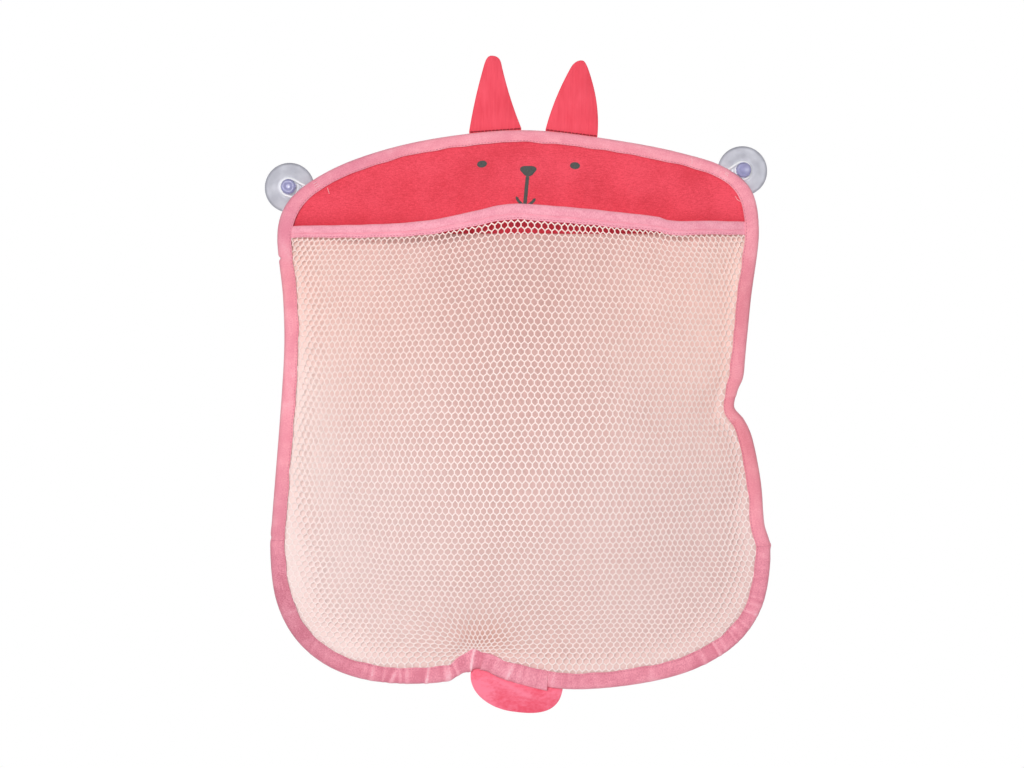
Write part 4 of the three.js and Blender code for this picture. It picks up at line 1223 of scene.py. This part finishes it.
def flapPiece(name, edge, middle, jointName, fullness, wrinkle):
    sizes = np.cos(np.linspace(0, np.pi / 2, flapSpec["rings"]))[:-1]
    rings = np.array([middle + (edge - middle) * s for s in sizes])
    x, z = rings[..., 0], rings[..., 1]
    half = flapHalf(sizes[:, None], fullness(z))
    half[0] = 0
    bend = wrinkle(x, z)
    front = np.stack([x, bend - half, z], axis=2)
    back = np.stack([x, bend + half, z], axis=2)[1:]
    thick = flapHalf(0, fullness(np.array(middle[1])))
    centre = np.array([[middle[0], side * thick, middle[1]] for side in (-1, 1)])
    local = np.vstack([front.reshape(-1, 3), back.reshape(-1, 3), centre])
    seam, ways = flapWays(jointName)
    piece = meshPiece(name, seam + mm * local @ ways, flapFaces(len(sizes), len(edge)))
    markFoldShade(piece, np.concatenate([-bend.ravel(), -bend[1:].ravel(), np.zeros(2)]))
    weld(piece)
    smoothShade(piece)
    return piece


def makeEar(side):
    shape = earSpec[side]
    fineHeight, fineStretch, fineLength = earSpec["fineFolds"]

    def fullness(z):
        return earSpec["pad"] * smoothStep(0, earSpec["padReach"], np.abs(z) * (z > 0))

    def wrinkle(x, z):
        folds = (fineHeight * drift(x, z * fineStretch, fineLength, shape["seed"])
                 + drift(x, z, earSpec["broadFold"], shape["seed"] + 1))
        return earSpec["crease"] * smoothStep(0, earSpec["creaseReach"], z) * folds

    middle = np.array(earSpec["middle"]) * (shape["lean"], shape["height"])
    piece = flapPiece(side + "_ear_cloth", earEdge(shape), middle, side + "_ear_fold", fullness, wrinkle)
    dress(piece, earCloth)
    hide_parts(side + "_ear")
    seam, (across, back, up) = flapWays(side + "_ear_fold")
    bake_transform(piece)
    # a dark red cord along the ear's base, standing in for the shadow gap where the ear meets the binding
    reach = earSpec["seamReach"] * np.linspace(-1, 1, earSpec["seamBars"] + 1)[:, None] * earSpec["width"] / 2
    offset = up * earSpec["seamUp"] - back * (flapSpec["seam"] + earSpec["seamAhead"])
    path = seam + mm * (across * reach + offset)
    addThread(side + "_ear_seam", [seamRun(path)], earSpec["seamRadius"] * mm, shadowLineThread)


def makeTail():
    def fullness(z):
        return tailSpec["pad"] * smoothStep(*tailSpec["padReach"], -z)

    def wrinkle(x, z):
        down = smoothStep(*tailSpec["creaseReach"], -z)
        fold = hump(z - tailSpec["foldZ"] - tailSpec["foldSlope"] * x, tailSpec["foldWidth"])
        fold = fold * smoothStep(*tailSpec["foldFrom"], x) * smoothStep(*tailSpec["foldTo"], x)
        wander = tailSpec["wander"] * drift(x, z, tailSpec["wanderLength"], tailSpec["seed"])
        return tailSpec["crease"] * down * (wander - fold)

    piece = flapPiece("tail_cloth", tailEdge(), np.array(tailSpec["middle"]), "tail_fold", fullness, wrinkle)
    dress(piece, tailCloth)
    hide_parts("tail")
    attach(piece, "tail")


for side in sides:
    makeEar(side)
makeTail()
print("ears and tail made")


# Suction cups: a profile spun about the cup's axis

cupSpec = dict(
    steps=72, profile=(  # radius and depth in front of the wall, in mm, from the hollow to the head
        (0, 3.2), (4.5, 3.1), (8.7, 2.85), (12, 2.25), (14.6, 1.5), (16.6, 0.6), (17.5, 0.1), (18.4, 0),
        (19.6, 0), (20, 0.25), (20, 0.6), (19.4, 0.95), (17.6, 1.6), (15.2, 2.7), (12.8, 4.3), (11, 5.7),
        (9.6, 6.6), (8.7, 6.95), (7.4, 7.0), (5.6, 7.02), (5.1, 7.25), (5, 7.8), (5, 8.8), (5.15, 9.25),
        (5.6, 9.5), (6.0, 9.9), (6.05, 11.4), (5.95, 13), (5.6, 14.1), (4.9, 14.85), (4.2, 15.1),
        (3.5, 15.0), (2.6, 14.6), (1.4, 14.45), (0, 14.4)),
    # rim is a painted dark edge, the shade a clear disc shows at its rim
    disc=(0.71, 0.71, 0.775), rim=(0.4, 0.4, 0.46), rimSpan=(18.6 * mm, 19.4 * mm),
    head=(0.3, 0.29, 0.58), headSpan=(7 * mm, 9.5 * mm))


def makeCup(side):
    pivot = np.array(jointAt[side + "_cup_turn"]["pos_m"])
    radius, depth = mm * np.array(cupSpec["profile"]).T
    piece = startPiece(side + "_suction_cup", bpy.ops.mesh.primitive_circle_add, vertices=len(radius))
    movePoints(piece, np.stack([pivot[0] + radius, -depth, np.full(len(radius), pivot[2])], axis=1))
    bpy.ops.object.mode_set(mode="EDIT")
    bpy.ops.mesh.select_all(action="DESELECT")
    bpy.ops.object.mode_set(mode="OBJECT")
    for edge in piece.data.edges:  # the circle's last edge would run down the axis
        edge.select = {0, len(radius) - 1} == set(edge.vertices)
    bpy.ops.object.mode_set(mode="EDIT")
    bpy.ops.mesh.select_mode(type="EDGE")
    bpy.ops.mesh.delete(type="EDGE")
    bpy.ops.mesh.select_mode(type="VERT")
    bpy.ops.mesh.select_all(action="SELECT")
    bpy.ops.mesh.spin(steps=cupSpec["steps"], angle=2 * math.pi, center=(pivot[0], 0, pivot[2]),
                      axis=(0, 1, 0))
    bpy.ops.object.mode_set(mode="OBJECT")
    weld(piece, 0.02 * mm)
    smoothShade(piece, 50)
    place = pointsOf(piece) - pivot
    # painted shade: a dark ring at the disc's edge
    inRimShade = smoothStep(*cupSpec["rimSpan"], np.hypot(place[:, 0], place[:, 2])[:, None])
    isHead = smoothStep(*cupSpec["headSpan"], -place[:, 1:2])
    disc, rimShade, head = (np.array(cupSpec[name]) for name in ("disc", "rim", "head"))
    paintTone(piece, mixed(mixed(disc, rimShade, inRimShade), head, isHead))
    dress(piece, vinyl)
    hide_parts(side + "_cup")
    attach(piece, side + "_cup")


# Cord loops: round the neck of the cup and back to the seam behind the binding

loopSpec = dict(radius=6.9, slack=0.7, gather=5.4, cord=2.0, depth=8.2,
                bight=(75, 285), bightStep=15)  # in mm, and the bight in degrees


def loopRoute(reach):  # from the seam round the neck and back, as places inward and across in mm
    first, last = loopSpec["bight"]
    angles = np.radians(np.arange(first, last + 1, loopSpec["bightStep"]))
    radius, gather = loopSpec["radius"], loopSpec["gather"]
    bight = [(loopSpec["slack"] + radius * math.cos(a), radius * math.sin(a)) for a in angles]
    legX = (bight[0][0] + reach) / 2
    legZ = (bight[0][1] + gather) / 2
    return [(reach, gather), (legX, legZ), *bight, (legX, -legZ), (reach, -gather)]


def makeLoop(side):
    pivot = np.array(jointAt[side + "_cup_turn"]["pos_m"])
    seam = np.array(jointAt[side + "_loop_swing"]["pos_m"])
    inward = (seam - pivot) * np.array([1, 0, 1])
    reach = np.linalg.norm(inward)
    inward /= reach
    across = np.array([-inward[2], 0, inward[0]])
    route = loopRoute(reach / mm)
    piece = startPiece(side + "_cord_loop", bpy.ops.curve.primitive_nurbs_path_add)
    curve = piece.data
    curve.splines.clear()
    spline = curve.splines.new("NURBS")
    spline.points.add(len(route) - 1)
    for point, (a, b) in zip(spline.points, route):
        place = pivot + mm * (inward * a + across * b) - np.array([0, loopSpec["depth"] * mm, 0])
        point.co = (*place, 1)
    spline.order_u = 3
    spline.use_endpoint_u = True
    curve.resolution_u = 6
    curve.bevel_depth = loopSpec["cord"] / 2 * mm
    curve.bevel_resolution = 4
    curve.use_fill_caps = True
    bpy.ops.object.convert(target="MESH")
    piece = bpy.context.object
    weld(piece, 0.005 * mm)
    smoothShade(piece)
    dress(piece, whiteCord)
    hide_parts(side + "_loop")
    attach(piece, side + "_loop")


for side in sides:
    makeCup(side)
    makeLoop(side)
print("cups and loops made")


# Loose threads: ends and bar tacks near the cord seams, each on whatever is under it

looseSpec = dict(radius=0.22 * mm, lift=0.12 * mm, pointSteps=4, rayFrom=-0.3, runs=(  # on the bag in mm
    ((-151.2, -6.4), (-150.6, -8.6), (-149.8, -11.2)), ((140.0, 17.4), (140.6, 15.0), (140.2, 12.4)),
    ((175.2, -13.0), (176.6, -15.6), (179.4, -17.4)), ((-162.6, -3.4), (-159.4, -1.4)),
    ((-161.6, -5.0), (-158.4, -3.0)), ((-160.4, -6.4), (-157.2, -4.6)), ((166.4, 5.2), (169.2, 3.2)),
    ((167.2, 6.4), (170.0, 4.4))))


def makeLooseThreads():
    view = bpy.context.evaluated_depsgraph_get()
    runs = []
    for path in looseSpec["runs"]:
        places, normals = [], []
        for point in evenOpen(np.array(path), looseSpec["pointSteps"] * len(path)):
            x, z = onBag(*point)
            start = Vector((x, looseSpec["rayFrom"], z))
            _, place, normal, *_ = bpy.context.scene.ray_cast(view, start, Vector((0, 1, 0)))
            places.append(np.array(place) + looseSpec["lift"] * np.array(normal))
            normals.append(np.array(normal))
        runs.append((places[:-1], places[1:], normals[:-1]))
    addThread("loose_threads", runs, looseSpec["radius"], paleThread)


makeLooseThreads()
print("loose threads made")


# Floor, lights and background

stageSpec = dict(
    floorZ=-1.2, floorSize=9.0, floorGrey=(0.9, 0.9, 0.9, 1), floorRoughness=0.9, floorGlow=0.22,
    sky=0.375, aim=(0, 0, -0.17),
    lights=(("key light", (-0.5, -2.4, 0.25), 0.5, 33.0), ("fill light", (1.8, -2.2, 0.2), 2.2, 4.7),
            ("back light", (0.7, 2.3, 0.7), 2.0, 34.0)))  # name, place, size and power
white = (1, 1, 1, 1)


def makeFloor():
    floor = startPiece("floor", bpy.ops.mesh.primitive_plane_add, size=stageSpec["floorSize"],
                       location=(0, 0, stageSpec["floorZ"]))
    material, tree = startMaterial("pale floor")
    seen = addNode(tree, "LightPath", {}).outputs["Is Camera Ray"]
    glow = combine(tree, "MULTIPLY", seen, stageSpec["floorGlow"])  # seen, with no light on the bag
    finishShader(tree, {"Base Color": stageSpec["floorGrey"], "Roughness": stageSpec["floorRoughness"],
                        "Emission Color": white, "Emission Strength": glow})
    floor.data.materials.append(material)


def makeLights():
    for name, place, size, power in stageSpec["lights"]:
        bpy.ops.object.light_add(type="AREA", location=place)
        lamp = bpy.context.object
        lamp.name = name
        lamp.data.energy = power
        lamp.data.size = size
        lamp.visible_transmission = name != "back light"  # not seen through the clear cups
        lamp.rotation_mode = "QUATERNION"
        lamp.rotation_quaternion = (Vector(stageSpec["aim"]) - Vector(place)).to_track_quat("-Z", "Y")


def makeWorld():  # white where it is seen, and dimmer as a light
    world = bpy.data.worlds.new("studio")
    bpy.context.scene.world = world
    world.use_nodes = True
    tree = world.node_tree
    rays = addNode(tree, "LightPath", {}).outputs
    seen = combine(tree, "MAXIMUM", rays["Is Camera Ray"], rays["Is Glossy Ray"])
    seen = combine(tree, "MAXIMUM", seen, rays["Is Transmission Ray"])
    span = combine(tree, "MULTIPLY", seen, 1 - stageSpec["sky"])
    background = tree.nodes["Background"]
    feed(tree, background.inputs["Color"], white)
    feed(tree, background.inputs["Strength"], combine(tree, "ADD", span, stageSpec["sky"]))


makeFloor()
makeLights()
makeWorld()
bpy.context.scene.view_settings.view_transform = "Standard"

print("scene ready")
